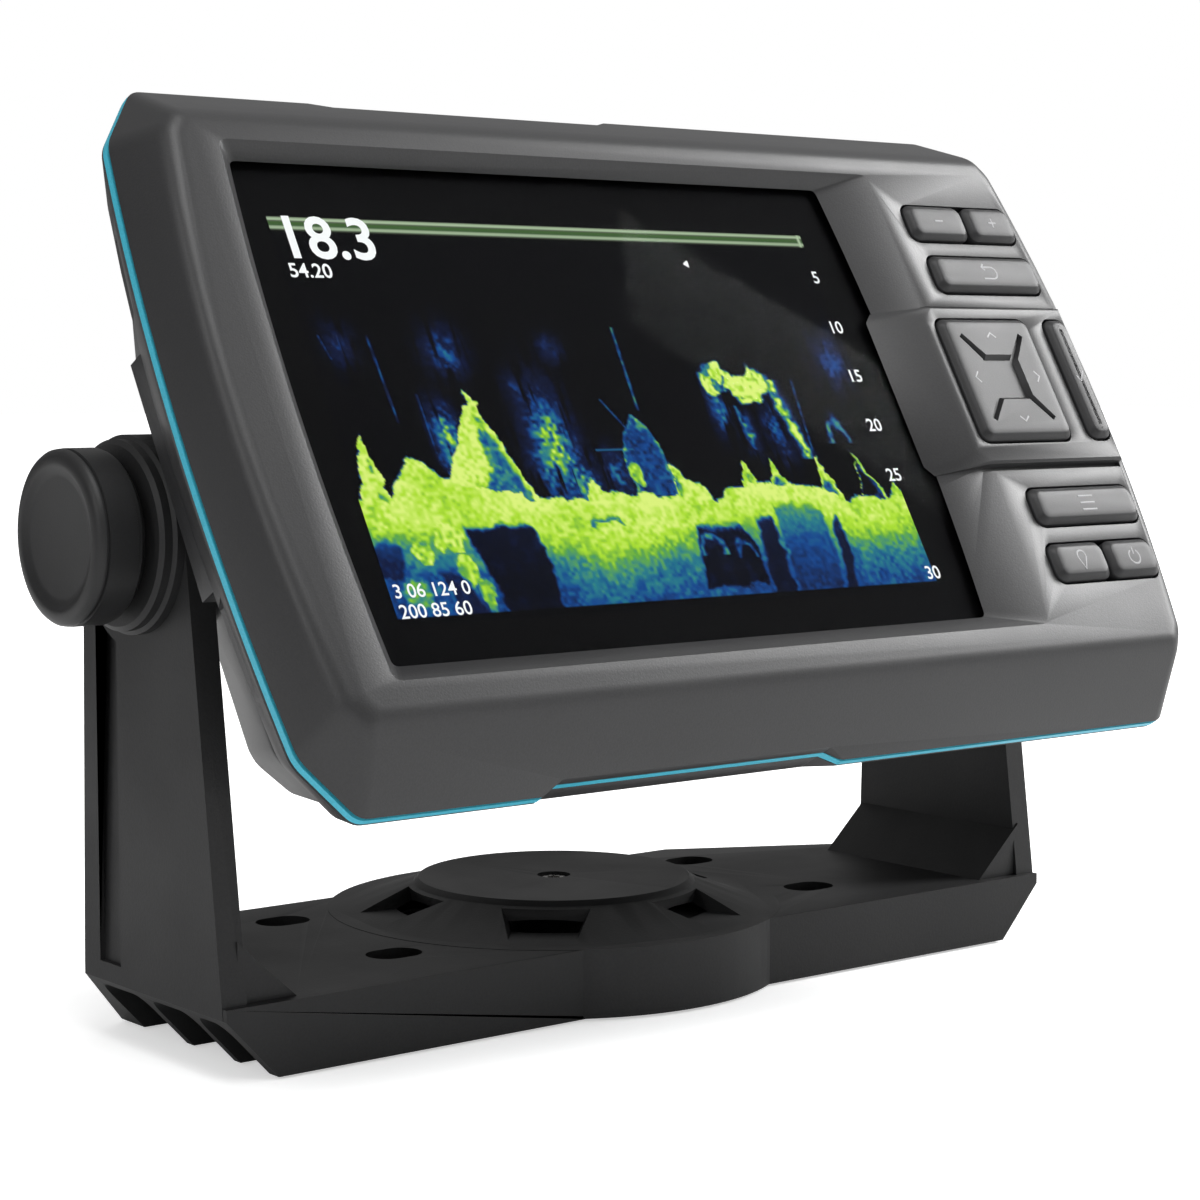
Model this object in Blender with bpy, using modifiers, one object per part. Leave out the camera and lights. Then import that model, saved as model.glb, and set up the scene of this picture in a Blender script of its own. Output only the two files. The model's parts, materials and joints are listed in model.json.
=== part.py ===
"""A keyed chartplotter display on its U-shaped bail mount, for Blender 4.5.

World axes: the user stands at -Y and looks along +Y, +X is to the right,
+Z is up, and the origin is where the swivel axis meets the deck. Lengths below are millimetres.
The display head is built in its own frame, an empty on the tilt axis: x across, z up the face, -y out of it.
"""

import math

import bmesh
import bpy
from mathutils import Matrix, Vector

MM = 0.001
GAP = 0.35  # clearance between neighbouring pieces

# Driving dimensions: the tilt axis and the head
PIVOT_Y = -8.2
PIVOT_Z = 74.3
AXIS = (PIVOT_Y, PIVOT_Z)
TILT_DEG = 30.3
SPLIT_Y = -26.4  # plane of the accent band, in front of the tilt axis
FACE_Y = SPLIT_Y - 10.8
GLASS_Y = SPLIT_Y - 8.0
HEAD_HALF_W = 86.6
HEAD_HALF_H = 55.3
FACE_HALF_W = 84.4
FACE_HALF_H = 45.8
WALL = 2.5
BACK_Y = SPLIT_Y + 35.0  # outside of the rear wall
BLOCK_LIFT = 0.8  # how far the block round the arrow pad stands proud

# Driving dimensions: the window, on the face
WIN_LEFT, WIN_RIGHT = -72.4, 41.4
WIN_LOW, WIN_HIGH = -37.7, 39.5

# Driving dimensions: the bail mount
DECK_CLEAR = 0.4
SHY = 0.06  # a step too small to see, where two joined faces would otherwise lie in one plane
ARM_OUT = 80.6
ARM_IN = 76.6
ARM_HEAD_R = 14.0
PLATE_TOP = 10.9
PLATE_FRONT, ARM_BACK = -31.3, 8.0
PLATE_BACK = 26.5
BULGE_R = 36.5
BOSS_CONE_R, BOSS_DISC_R, BOSS_TOP = 33.4, 22.4, 15.6
SLOT_X, SLOT_Y = 42.0, 15.3
SLOT_HALF_L, SLOT_HALF_W = 4.4, 3.3
GUSSET_IN, GUSSET_TOP = 67.5, 19.6
CHAMFER_IN, CHAMFER_TOP = 70.0, 11.4  # where the slanted bottom edge meets the underside and the arm
POCKET_IN, POCKET_TOP = 37.5, 8.3
POCKETS = ((-28.8, -21.3), (-19.6, -8.6), (-6.6, 5.6))  # front and rear of each open pocket under the plate
GROOVE_FRONT, GROOVE_BACK, GROOVE_LOW, GROOVE_HIGH = -2.6, 3.4, 12.0, 57.5
GROOVE_DEPTH = 0.8
WINDOW_FIRST_DEG = 229

# Driving dimensions: the swivel foot
FOOT_R, FOOT_TOP = 31.0, 7.0
HUB_R, HUB_TOP = 7.0, 11.0
FOOT_HOLE_R, FOOT_HOLE_RING = 2.4, 20.0

# Driving dimensions: the knobs
KNOB_R, KNOB_IN, KNOB_OUT = 12.3, 84.9, 92.8
STUD_R = 2.9

# Keys: name, left, right, low, high on the face
KEYS = (
    ("key_zoom_out", 54.8, 67.95, 28.9, 35.5),
    ("key_zoom_in", 68.45, 79.6, 28.9, 35.5),
    ("key_back", 56.0, 80.4, 19.0, 25.8),
    ("key_dpad", 50.9, 71.8, -9.1, 13.3),
    ("key_select", 76.3, 81.4, -9.1, 13.3),
    ("key_menu", 56.6, 80.8, -24.0, -17.5),
    ("key_mark", 55.9, 68.25, -34.0, -27.4),
    ("key_power", 68.75, 80.1, -34.0, -27.4),
)
SHARED = {"key_zoom_out": "key_zoom_in", "key_mark": "key_power"}  # pairs that share one opening
KEY_RIGHT = {name: right for name, _, right, _, _ in KEYS}
KEY_STAND = 1.1  # height of a key above the face
KEY_DEPTH = 3.0
KEY_R = 1.7

# The block round the arrow pad: its foot on the glass and its edges on the face
BLOCK_FOOT, BLOCK_EDGE, BLOCK_RIGHT = 39.2, 48.6, 82.2
BLOCK_LOW, BLOCK_HIGH = -12.9, 15.9

# Grip recesses in the top and bottom edges
GRIP_LEFT, GRIP_RIGHT, GRIP_SLOPE, GRIP_DEPTH = -48.5, 7.0, 3.0, 1.6

# The rear of the case, and the steps in its rim
LUG_X, LUG_Y, LUG_Z = 83.2, SPLIT_Y + 10.8, 18.2
NOTCH_X, NOTCH_Y = 82.4, SPLIT_Y + 4.1
RIM_NOTCHES = ((22.6, 35.2), (-34.2, -20.6))
SOCKET = (22.0, -14.0)
VENT = (-24.0, -16.0)
HOUSING_SCREWS = ((-56, 24), (56, 24), (-56, -24), (56, -24), (0, 29), (0, -30))

for leftover in list(bpy.data.objects):
    bpy.data.objects.remove(leftover)

PART = bpy.data.collections.new("chartplotter_display")
CUTTERS = bpy.data.collections.new("cutters")
for group in (PART, CUTTERS):
    bpy.context.scene.collection.children.link(group)
CUTTERS.hide_render = True


# ---------------------------------------------------------------- helpers


def material(name, colour, roughness, metallic=0.0, alpha=1.0):
    """A Principled material, made once."""
    found = bpy.data.materials.get(name)
    if found:
        return found
    made = bpy.data.materials.new(name)
    made.use_nodes = True
    shader = made.node_tree.nodes["Principled BSDF"]
    shader.inputs["Base Color"].default_value = (*colour, 1.0)
    shader.inputs["Roughness"].default_value = roughness
    shader.inputs["Metallic"].default_value = metallic
    shader.inputs["Alpha"].default_value = alpha
    made.diffuse_color = (*colour, 1.0)
    return made


CASE = material("case_plastic", (0.055, 0.056, 0.06), 0.5)
MOUNT = material("mount_plastic", (0.03, 0.03, 0.032), 0.6)
KNOB = material("knob_plastic", (0.028, 0.028, 0.03), 0.5)
TEAL = material("accent_teal", (0.03, 0.30, 0.40), 0.4)
KEY = material("key_rubber", (0.045, 0.046, 0.05), 0.6)
GLASS = material("cover_glass", (0.01, 0.01, 0.012), 0.05)
SCREEN = material("lcd_screen", (0.02, 0.05, 0.09), 0.3)
STEEL = material("stainless_steel", (0.6, 0.6, 0.6), 0.3, 1.0)
BRASS = material("brass", (0.7, 0.5, 0.25), 0.3, 1.0)
RUBBER = material("seal_rubber", (0.02, 0.02, 0.02), 0.8)
BOARD = material("circuit_board", (0.02, 0.16, 0.07), 0.5)
CERAMIC = material("antenna_ceramic", (0.75, 0.7, 0.6), 0.5)
RIBBON = material("ribbon_film", (0.45, 0.2, 0.05), 0.4)


def empty(name, location, rotation=(0, 0, 0)):
    made = bpy.data.objects.new(name, None)
    made.location = [v * MM for v in location]
    made.rotation_euler = rotation
    made.empty_display_size = 0.01
    PART.objects.link(made)
    return made


HEAD = empty("head_frame", (0, PIVOT_Y, PIVOT_Z), (-math.radians(TILT_DEG), 0, 0))
BASE = empty("base_frame", (0, 0, 0))


def add(name, mesh, look, parent, location=(0, 0, 0), rotation=(0, 0, 0)):
    """The mesh as a visible node, or as a cutter where look is None."""
    made = bpy.data.objects.new(name, mesh)
    made.location = [v * MM for v in location]
    made.rotation_euler = rotation
    made.parent = parent
    if look is None:
        CUTTERS.objects.link(made)
        made.hide_render = True
        made.display_type = "WIRE"
    else:
        PART.objects.link(made)
        mesh.materials.append(look)
    return made


def mesh_of(name, build):
    """A mesh that build fills through a bmesh, with outward normals, in metres."""
    bm = bmesh.new()
    build(bm)
    bmesh.ops.recalc_face_normals(bm, faces=bm.faces)
    bmesh.ops.scale(bm, vec=(MM, MM, MM), verts=bm.verts)
    mesh = bpy.data.meshes.new(name)
    bm.to_mesh(mesh)
    bm.free()
    return mesh


def box(name, low, high, look, parent=None):
    """A box between two corners."""
    low, high = Vector(low), Vector(high)
    mesh = mesh_of(name, lambda bm: bmesh.ops.create_cube(
        bm, size=1.0, matrix=Matrix.Diagonal((*(high - low), 1.0))))
    return add(name, mesh, look, parent, (low + high) / 2)


def cylinder(name, radius, low, high, look, parent=None, centre=(0, 0), axis="Z", sides=32):
    """A cylinder along an axis. centre is the other two coordinates, in X, Y, Z order."""
    quarter = math.pi / 2
    turn = {"Z": Matrix(), "X": Matrix.Rotation(quarter, 4, "Y"), "Y": Matrix.Rotation(-quarter, 4, "X")}
    mid = (low + high) / 2
    place = {"Z": (*centre, mid), "X": (mid, *centre), "Y": (centre[0], mid, centre[1])}[axis]
    mesh = mesh_of(name, lambda bm: bmesh.ops.create_cone(
        bm, cap_ends=True, segments=sides, radius1=radius, radius2=radius, depth=high - low,
        matrix=turn[axis]))
    return add(name, mesh, look, parent, place)


def turned(name, profile, look, parent=None, location=(0, 0, 0), rotation=(0, 0, 0), steps=48, ring=False):
    """A profile of (radius, height) points turned about Z; ring closes a profile that stays off the axis."""
    mesh = bpy.data.meshes.new(name)
    edges = [(i, i + 1) for i in range(len(profile) - 1)]
    if ring:
        edges.append((len(profile) - 1, 0))
    mesh.from_pydata([(r * MM, 0, z * MM) for r, z in profile], edges, [])
    made = add(name, mesh, look, parent, location, rotation)
    screw = made.modifiers.new("turn", "SCREW")
    screw.steps = screw.render_steps = steps
    screw.use_merge_vertices = True
    screw.merge_threshold = 0.00001
    return made


def plate(name, outlines, low, high, look, parent=None, facing="Z"):
    """A flat plate between two heights. The first outline is its edge and the others are holes."""
    curve = bpy.data.curves.new(name, "CURVE")
    curve.dimensions = "2D"
    curve.fill_mode = "BOTH"
    curve.extrude = (high - low) / 2 * MM
    for outline in outlines:
        spline = curve.splines.new("POLY")
        spline.points.add(len(outline) - 1)
        for point, (x, y) in zip(spline.points, outline):
            point.co = (x * MM, y * MM, 0, 1)
        spline.use_cyclic_u = True
    guide = bpy.data.objects.new(name, curve)
    bpy.context.scene.collection.objects.link(guide)
    mesh = bpy.data.meshes.new_from_object(guide.evaluated_get(bpy.context.evaluated_depsgraph_get()))
    bpy.data.objects.remove(guide)
    bm = bmesh.new()
    bm.from_mesh(mesh)
    bmesh.ops.remove_doubles(bm, verts=bm.verts, dist=1e-6)
    bmesh.ops.recalc_face_normals(bm, faces=bm.faces)
    bm.to_mesh(mesh)
    bm.free()
    mesh.name = name
    mesh.materials.clear()
    mid = (low + high) / 2
    if facing == "Z":
        return add(name, mesh, look, parent, (0, 0, mid))
    if facing == "Y":  # the outline's y becomes z
        return add(name, mesh, look, parent, (0, mid, 0), (math.pi / 2, 0, 0))
    # facing X: the outline is (y, z)
    return add(name, mesh, look, parent, (mid, 0, 0), (math.pi / 2, 0, math.pi / 2))


def loft(name, rings, look, parent=None):
    """A closed solid through rings of the same number of points."""
    def build(bm):
        loops = [[bm.verts.new(p) for p in ring] for ring in rings]
        count = len(rings[0])
        for a, b in zip(loops, loops[1:]):
            for i in range(count):
                j = (i + 1) % count
                bm.faces.new((a[i], a[j], b[j], b[i]))
        bm.faces.new(loops[0])
        bm.faces.new(loops[-1])
    return add(name, mesh_of(name, build), look, parent)


def boolean(target, other, operation="DIFFERENCE"):
    made = target.modifiers.new(operation.lower() + "_" + other.name, "BOOLEAN")
    made.operation = operation
    made.solver = "EXACT"
    made.object = other


def cut(target, *cutters):
    for cutter in cutters:
        boolean(target, cutter)


def join(target, *others):
    for other in others:
        boolean(target, other, "UNION")


def rounded(left, right, low, high, radius, arc=4):
    """A rectangle with round corners, anticlockwise."""
    corners = ((right - radius, high - radius, 0), (left + radius, high - radius, 90),
               (left + radius, low + radius, 180), (right - radius, low + radius, 270))
    points = []
    for cx, cy, start in corners:
        for i in range(arc + 1):
            angle = math.radians(start + 90 * i / arc)
            points.append((cx + radius * math.cos(angle), cy + radius * math.sin(angle)))
    return points


def bowed(half_w, half_h, bow, cut_x, cut_z, y, side_steps=8):
    """A case outline at depth y: bowed sides, straight top and bottom, and cut corners."""
    reach = half_h - cut_z
    points = []
    for side in (1, -1):
        for i in range(side_steps + 1):
            z = side * reach * (2 * i / side_steps - 1)
            points.append((side * (half_w - bow * (z / reach) ** 2), y, z))
        points.append((side * (half_w - bow - cut_x), y, side * half_h))
        points.append((-side * (half_w - bow - cut_x), y, side * half_h))
    return points


# ---------------------------------------------------------------- swivel base


def make_swivel_base():
    top = FOOT_TOP
    puck = turned("swivel_base", [
        (0, top), (FOOT_R - 2.0, top), (FOOT_R, top - 2.0), (FOOT_R, 0), (0, 0)], MOUNT, BASE)
    screw_hole = cylinder("swivel_screw_hole", 1.75, 3.0, HUB_TOP + 2, None, BASE)
    join(puck, cylinder("swivel_hub", HUB_R, top - 1.0, HUB_TOP, None, BASE))
    cut(puck, screw_hole)
    for index in range(3):
        angle = math.radians(90 + 120 * index)
        spot = (FOOT_HOLE_RING * math.cos(angle), FOOT_HOLE_RING * math.sin(angle))
        cut(puck, cylinder(f"base_hole_{index}", FOOT_HOLE_R, -1, top + 1, None, BASE, spot, sides=24))
    # The screw passes through the mount's disc into the hub, with a washer between hub and disc.
    turned("swivel_washer", [(1.9, 11.7), (6.0, 11.7), (6.0, 11.3), (1.9, 11.3)], STEEL, BASE,
           steps=32, ring=True)
    screw = turned("swivel_screw", [
        (0, 15.2), (2.0, 15.2), (2.35, 14.8), (2.35, 13.95), (1.4, 13.95), (1.4, 4.0), (0, 4.0)],
        STEEL, BASE, steps=24)
    cut(screw, cylinder("swivel_screw_socket", 1.15, 14.4, 16, None, BASE, sides=6))


# ---------------------------------------------------------------- bail mount


def arm_outline():
    """The arm seen from the side, as (y, z)."""
    head = []
    for i in range(19):
        angle = math.radians(-4 + (186 + 4) * i / 18)
        head.append((PIVOT_Y + ARM_HEAD_R * math.cos(angle), PIVOT_Z + ARM_HEAD_R * math.sin(angle)))
    front, back = PLATE_FRONT + SHY, ARM_BACK + SHY
    return [(front, 1.0), (back, 1.0), (back, 12.0), (back - 1.2, 61.0)] + head + [(front + 1.1, 12.0)]


def plan_outline():
    """The base plate seen from above."""
    edge = ARM_OUT - SHY
    right = [(edge, PLATE_FRONT), (edge, ARM_BACK), (46.0, PLATE_BACK)]
    return right + [(-x, y) for x, y in reversed(right)]


def boss_window(name, degrees):
    """A cutter for one window in the boss's skirt, wider at its top."""
    low, high = PLATE_TOP + 0.5, BOSS_TOP - 1.1
    rings = [[(r, -5.2, low), (r, 5.2, low), (r, 6.9, high), (r, -6.9, high)]
             for r in (BOSS_DISC_R + 0.2, BOSS_CONE_R + 0.6)]
    window = loft(name, rings, None, BASE)
    window.rotation_euler = (0, 0, math.radians(degrees))
    return window


def cut_side(bracket, index, side):
    """Everything cut from one side of the bracket: the slanted edge, pockets, stud hole, groove and slots."""
    wedge = [(side * (ARM_OUT + 2), CHAMFER_TOP), (side * (ARM_OUT + 2), -2), (side * CHAMFER_IN, -2)]
    cut(bracket, plate(f"edge_cut_{index}", [wedge], -60, 60, None, BASE, "Y"))
    for number, (low, high) in enumerate(POCKETS):
        x0, x1 = sorted((side * POCKET_IN, side * (ARM_OUT + 3)))
        cut(bracket, box(f"pocket_{index}_{number}", (x0, low, -2), (x1, high, POCKET_TOP), None, BASE))
    x0, x1 = sorted((side * POCKET_IN, side * 52.0))
    cut(bracket, box(f"pocket_{index}_rear", (x0, 8.2, -2), (x1, 20.5, POCKET_TOP), None, BASE))
    x0, x1 = sorted((side * (ARM_IN - 6), side * (KNOB_IN + 5)))
    cut(bracket, cylinder(f"stud_hole_{index}", STUD_R + 0.6, x0, x1, None, BASE, AXIS, "X", 32))
    x0, x1 = sorted((side * (ARM_OUT - GROOVE_DEPTH), side * (ARM_OUT + 1)))
    cut(bracket, box(f"arm_groove_{index}", (x0, GROOVE_FRONT, GROOVE_LOW), (x1, GROOVE_BACK, GROOVE_HIGH),
                     None, BASE))
    for end in (-1, 1):
        x, y = side * SLOT_X, end * SLOT_Y
        slot = rounded(x - SLOT_HALF_L, x + SLOT_HALF_L, y - SLOT_HALF_W, y + SLOT_HALF_W, SLOT_HALF_W - 0.1)
        cut(bracket, plate(f"slot_{index}_{end + 1}", [slot], 5, 14, None, BASE))


def make_bracket():
    bracket = plate("bail_bracket", [plan_outline()], DECK_CLEAR, PLATE_TOP, MOUNT, BASE)
    cut(bracket, cylinder("boss_well", BULGE_R - 1.5, -1, PLATE_TOP + 1, None, BASE, sides=64))
    low, top = DECK_CLEAR + SHY, PLATE_TOP + SHY
    boss = turned("boss", [
        (BOSS_DISC_R, BOSS_TOP), (BOSS_CONE_R, top), (BULGE_R, top), (BULGE_R, low), (BULGE_R - 3.0, low),
        (BULGE_R - 3.0, PLATE_TOP - 2.4), (BOSS_DISC_R - 1.0, BOSS_TOP - 2.4), (10.0, BOSS_TOP - 2.4),
        (8.5, BOSS_TOP - 3.6), (1.75, BOSS_TOP - 3.6), (1.75, BOSS_TOP - 2.0), (2.7, BOSS_TOP - 2.0),
        (2.7, BOSS_TOP)], None, BASE, steps=64, ring=True)
    join(bracket, boss)
    for index, side in enumerate((-1, 1)):
        low, high = sorted((side * ARM_IN, side * ARM_OUT))
        arm = plate(f"arm_{index}", [arm_outline()], low, high, None, BASE, "X")
        low, high = sorted((side * (ARM_OUT - 0.5), side * (KNOB_IN - 0.5)))
        ring = cylinder(f"arm_ring_{index}", ARM_HEAD_R, low, high, None, BASE, AXIS, "X", 48)
        corner = [(side * (ARM_IN + 1), GUSSET_TOP), (side * GUSSET_IN, PLATE_TOP - 0.6),
                  (side * (ARM_IN + 1), PLATE_TOP - 0.6)]
        gusset = plate(f"gusset_{index}", [corner], PLATE_FRONT + 1.8, ARM_BACK - 0.4, None, BASE, "Y")
        join(bracket, arm, ring, gusset)
    for index, side in enumerate((-1, 1)):
        cut_side(bracket, index, side)
    for index in range(6):
        cut(bracket, boss_window(f"boss_window_{index}", WINDOW_FIRST_DEG + 60 * index))


# ---------------------------------------------------------------- knobs


def make_knob(side, word):
    """Washer, knob and stud on the tilt axis, outside one arm. Profiles run along +Z and turn to +X or -X."""
    at = (0, PIVOT_Y, PIVOT_Z)
    turn = (0, side * math.pi / 2, 0)
    turned(f"knob_washer_{word}", [(3.3, KNOB_IN + 0.6), (8.6, KNOB_IN + 0.6), (8.6, KNOB_IN - 0.2),
                                   (3.3, KNOB_IN - 0.2)], STEEL, BASE, at, turn, 32, ring=True)
    knob = turned(f"knob_{word}", [
        (0, KNOB_OUT - 0.5), (KNOB_R - 2.6, KNOB_OUT - 0.5), (KNOB_R - 2.2, KNOB_OUT),
        (KNOB_R - 0.9, KNOB_OUT), (KNOB_R, KNOB_OUT - 0.9), (KNOB_R, KNOB_IN + 0.8),
        (KNOB_R - 0.6, KNOB_IN + 0.1), (9.1, KNOB_IN + 0.1), (9.1, KNOB_IN + 0.95),
        (0, KNOB_IN + 0.95)], KNOB, BASE, at, turn, 56)
    x0, x1 = sorted((side * (KNOB_IN - 5), side * (KNOB_OUT - 2.0)))
    cut(knob, cylinder(f"knob_bore_{word}", STUD_R + GAP, x0, x1, None, BASE, AXIS, "X", 24))
    turned(f"knob_stud_{word}", [(0, KNOB_OUT - 2.4), (STUD_R, KNOB_OUT - 2.4), (STUD_R, 67.0),
                                 (STUD_R - 0.6, 66.2), (0, 66.2)], STEEL, BASE, at, turn, 24)


# ---------------------------------------------------------------- display head


def grip_cutter(name, side, z):
    """The long shallow recess in the case's top or bottom edge, with sloped ends."""
    def build(bm):
        depth, past = GRIP_DEPTH * side, 8 * side
        rows = [(GRIP_LEFT, 0), (GRIP_LEFT + GRIP_SLOPE, -depth), (GRIP_RIGHT - GRIP_SLOPE, -depth),
                (GRIP_RIGHT, 0), (GRIP_RIGHT, past), (GRIP_LEFT, past)]
        loops = [[bm.verts.new((x, y, z + dz)) for x, dz in rows] for y in (SPLIT_Y - 14, SPLIT_Y + 14)]
        for i in range(len(rows)):
            j = (i + 1) % len(rows)
            bm.faces.new((loops[0][i], loops[0][j], loops[1][j], loops[1][i]))
        bm.faces.new(loops[0])
        bm.faces.new(loops[1])
    return add(name, mesh_of(name, build), None, HEAD)


def window_ring(grow_left, grow_right, grow_low, grow_high, y):
    """The window's outline with slightly bowed sides, for a loft."""
    left, right = WIN_LEFT - grow_left, WIN_RIGHT + grow_right
    low, high = WIN_LOW - grow_low, WIN_HIGH + grow_high
    mid, reach = (low + high) / 2, (high - low) / 2
    points = []
    for i in range(7):
        z = -reach + 2 * reach * i / 6
        points.append((right - 1.8 * (z / reach) ** 2, y, mid + z))
    for i in range(7):
        z = reach - 2 * reach * i / 6
        points.append((left + 1.6 * (z / reach) ** 2, y, mid + z))
    return points


def make_bezel():
    bezel = loft("front_bezel", [
        bowed(HEAD_HALF_W, HEAD_HALF_H, 2.5, 6.2, 9.0, SPLIT_Y - 1.05),
        bowed(FACE_HALF_W + 0.7, FACE_HALF_H + 0.9, 4.0, 2.2, 3.0, FACE_Y + 0.8),
        bowed(FACE_HALF_W, FACE_HALF_H, 4.0, 2.0, 2.8, FACE_Y)], CASE, HEAD)
    cut(bezel, loft("bezel_cavity", [
        bowed(HEAD_HALF_W - WALL, HEAD_HALF_H - WALL, 2.5, 6.0, 8.8, SPLIT_Y + 2),
        bowed(HEAD_HALF_W - WALL, HEAD_HALF_H - WALL, 2.5, 6.0, 8.8, SPLIT_Y - 1.05),
        bowed(FACE_HALF_W - WALL, FACE_HALF_H - WALL, 4.0, 2.0, 2.8, GLASS_Y - 0.3)], None, HEAD))
    cut(bezel, loft("window_cut", [
        window_ring(0, 0, 0, 0, GLASS_Y + 2), window_ring(0, 0, 0, 0, GLASS_Y - 0.3),
        window_ring(2.4, 10.4, 3.0, 1.9, FACE_Y), window_ring(2.8, 12.2, 3.5, 2.2, FACE_Y - 0.5),
        window_ring(2.8, 12.2, 3.5, 2.2, FACE_Y - 3)], None, HEAD))
    # The block round the arrow pad, proud of the face, with its own slope down to the glass.
    front, foot = FACE_Y - BLOCK_LIFT, GLASS_Y - 0.3
    block = loft("arrow_block", [
        [(BLOCK_FOOT, foot, BLOCK_LOW), (BLOCK_RIGHT, foot, BLOCK_LOW), (BLOCK_RIGHT, foot, BLOCK_HIGH),
         (BLOCK_FOOT, foot, BLOCK_HIGH)],
        [(BLOCK_EDGE, front, BLOCK_LOW + 0.5), (BLOCK_RIGHT, front, BLOCK_LOW + 0.5),
         (BLOCK_RIGHT, front, BLOCK_HIGH - 0.7), (BLOCK_EDGE, front, BLOCK_HIGH - 0.7)]], None, HEAD)
    join(bezel, block)
    cut(bezel, box("block_groove", (BLOCK_EDGE + 0.9, front - 1, BLOCK_LOW - 1.1),
                   (BLOCK_RIGHT - 0.4, FACE_Y + 0.6, BLOCK_LOW - 0.15), None, HEAD))
    for name, left, right, low, high in KEYS:
        if name in SHARED.values():
            continue
        edge = KEY_RIGHT[SHARED.get(name, name)]
        hole = rounded(left - GAP, edge + GAP, low - GAP, high + GAP, KEY_R + GAP)
        cut(bezel, plate(name + "_hole", [hole], FACE_Y - 3, FACE_Y + 6, None, HEAD, "Y"))
    cut(bezel, grip_cutter("grip_top", 1, HEAD_HALF_H), grip_cutter("grip_bottom", -1, -HEAD_HALF_H))


def make_keys():
    for name, left, right, low, high in KEYS:
        front = FACE_Y - KEY_STAND - (BLOCK_LIFT if name in ("key_dpad", "key_select") else 0)
        key = plate(name, [rounded(left, right, low, high, KEY_R, 3)], front, FACE_Y + KEY_DEPTH - KEY_STAND,
                    KEY, HEAD, "Y")
        if name == "key_dpad":
            mid_x, mid_z = (left + right) / 2, (low + high) / 2
            for index in range(4):
                angle = math.radians(45 + 90 * index)
                x, z = mid_x + 6.2 * math.cos(angle), mid_z + 6.6 * math.sin(angle)
                dish = box(f"dpad_groove_{index}", (-2.6, front - 1, -0.35), (2.6, front + 0.4, 0.35),
                           None, HEAD)
                dish.location = Vector((x, front, z)) * MM
                dish.rotation_euler = (0, -angle, 0)
                cut(key, dish)


def make_accent_band():
    outer = [(x, z) for x, _, z in bowed(HEAD_HALF_W + 0.1, HEAD_HALF_H + 0.1, 2.5, 6.2, 9.0, 0)]
    inner = [(x, z) for x, _, z in bowed(HEAD_HALF_W - 2.4, HEAD_HALF_H - 2.4, 2.5, 6.0, 8.8, 0)]
    band = plate("accent_band", [outer, inner], SPLIT_Y - 0.7, SPLIT_Y + 0.7, TEAL, HEAD, "Y")
    cut(band, bpy.data.objects["grip_top"], bpy.data.objects["grip_bottom"])


def make_rear_housing():
    case = loft("rear_housing", [
        bowed(HEAD_HALF_W, HEAD_HALF_H, 2.5, 6.2, 9.0, SPLIT_Y + 1.05),
        bowed(83.4, 51.8, 2.5, 6.0, 9.0, SPLIT_Y + 8.5),
        bowed(74.3, 50.4, 0.6, 5.0, 8.0, SPLIT_Y + 9.8),
        bowed(74.1, 46.0, 0.6, 6.0, 8.0, SPLIT_Y + 20.0),
        bowed(66.0, 36.5, 0.5, 5.0, 6.0, BACK_Y - 1.6),
        bowed(64.4, 34.9, 0.5, 4.6, 5.6, BACK_Y)], CASE, HEAD)
    cut(case, loft("housing_cavity", [
        bowed(HEAD_HALF_W - 2.6, HEAD_HALF_H - 2.6, 2.5, 6.0, 8.8, SPLIT_Y - 1),
        bowed(80.9, 49.2, 2.5, 5.6, 8.6, SPLIT_Y + 6.6),
        bowed(71.9, 47.6, 0.6, 5.0, 8.0, SPLIT_Y + 8.0),
        bowed(71.7, 43.4, 0.6, 6.0, 8.0, SPLIT_Y + 19.0),
        bowed(63.2, 33.6, 0.5, 5.0, 6.0, BACK_Y - 2.5)], None, HEAD))
    for index, side in enumerate((-1, 1)):
        x0, x1 = sorted((side * 62, side * 74.4))
        join(case, cylinder(f"pivot_boss_{index}", 13.0, x0, x1, None, HEAD, (0, 0), "X", 48))
        x0, x1 = sorted((side * 60.5, side * 76))
        cut(case, cylinder(f"insert_hole_{index}", 5.2, x0, x1, None, HEAD, (0, 0), "X", 32))
        # The rim behind the band has a lug beside the pivot, between two notches
        x0, x1 = sorted((side * 75.0, side * LUG_X))
        join(case, box(f"rim_lug_{index}", (x0, SPLIT_Y + 7.2, -LUG_Z), (x1, LUG_Y, LUG_Z), None, HEAD))
        x0, x1 = sorted((side * NOTCH_X, side * (HEAD_HALF_W + 4)))
        for number, (low, high) in enumerate(RIM_NOTCHES):
            notch = box(f"rim_notch_{index}_{number}", (x0, NOTCH_Y, low), (x1, NOTCH_Y + 10, high), None, HEAD)
            cut(case, notch)
    cut(case, cylinder("socket_hole", 9.4, BACK_Y - 6, BACK_Y + 2, None, HEAD, SOCKET, "Y", 40),
        cylinder("vent_hole", 3.4, BACK_Y - 6, BACK_Y + 2, None, HEAD, VENT, "Y", 24))
    for index, spot in enumerate(HOUSING_SCREWS):
        cut(case, cylinder(f"screw_hole_{index}", 1.8, BACK_Y - 6, BACK_Y + 2, None, HEAD, spot, "Y", 16),
            cylinder(f"screw_sink_{index}", 3.1, BACK_Y - 0.9, BACK_Y + 2, None, HEAD, spot, "Y", 20))
    cut(case, bpy.data.objects["grip_top"], bpy.data.objects["grip_bottom"])


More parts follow.
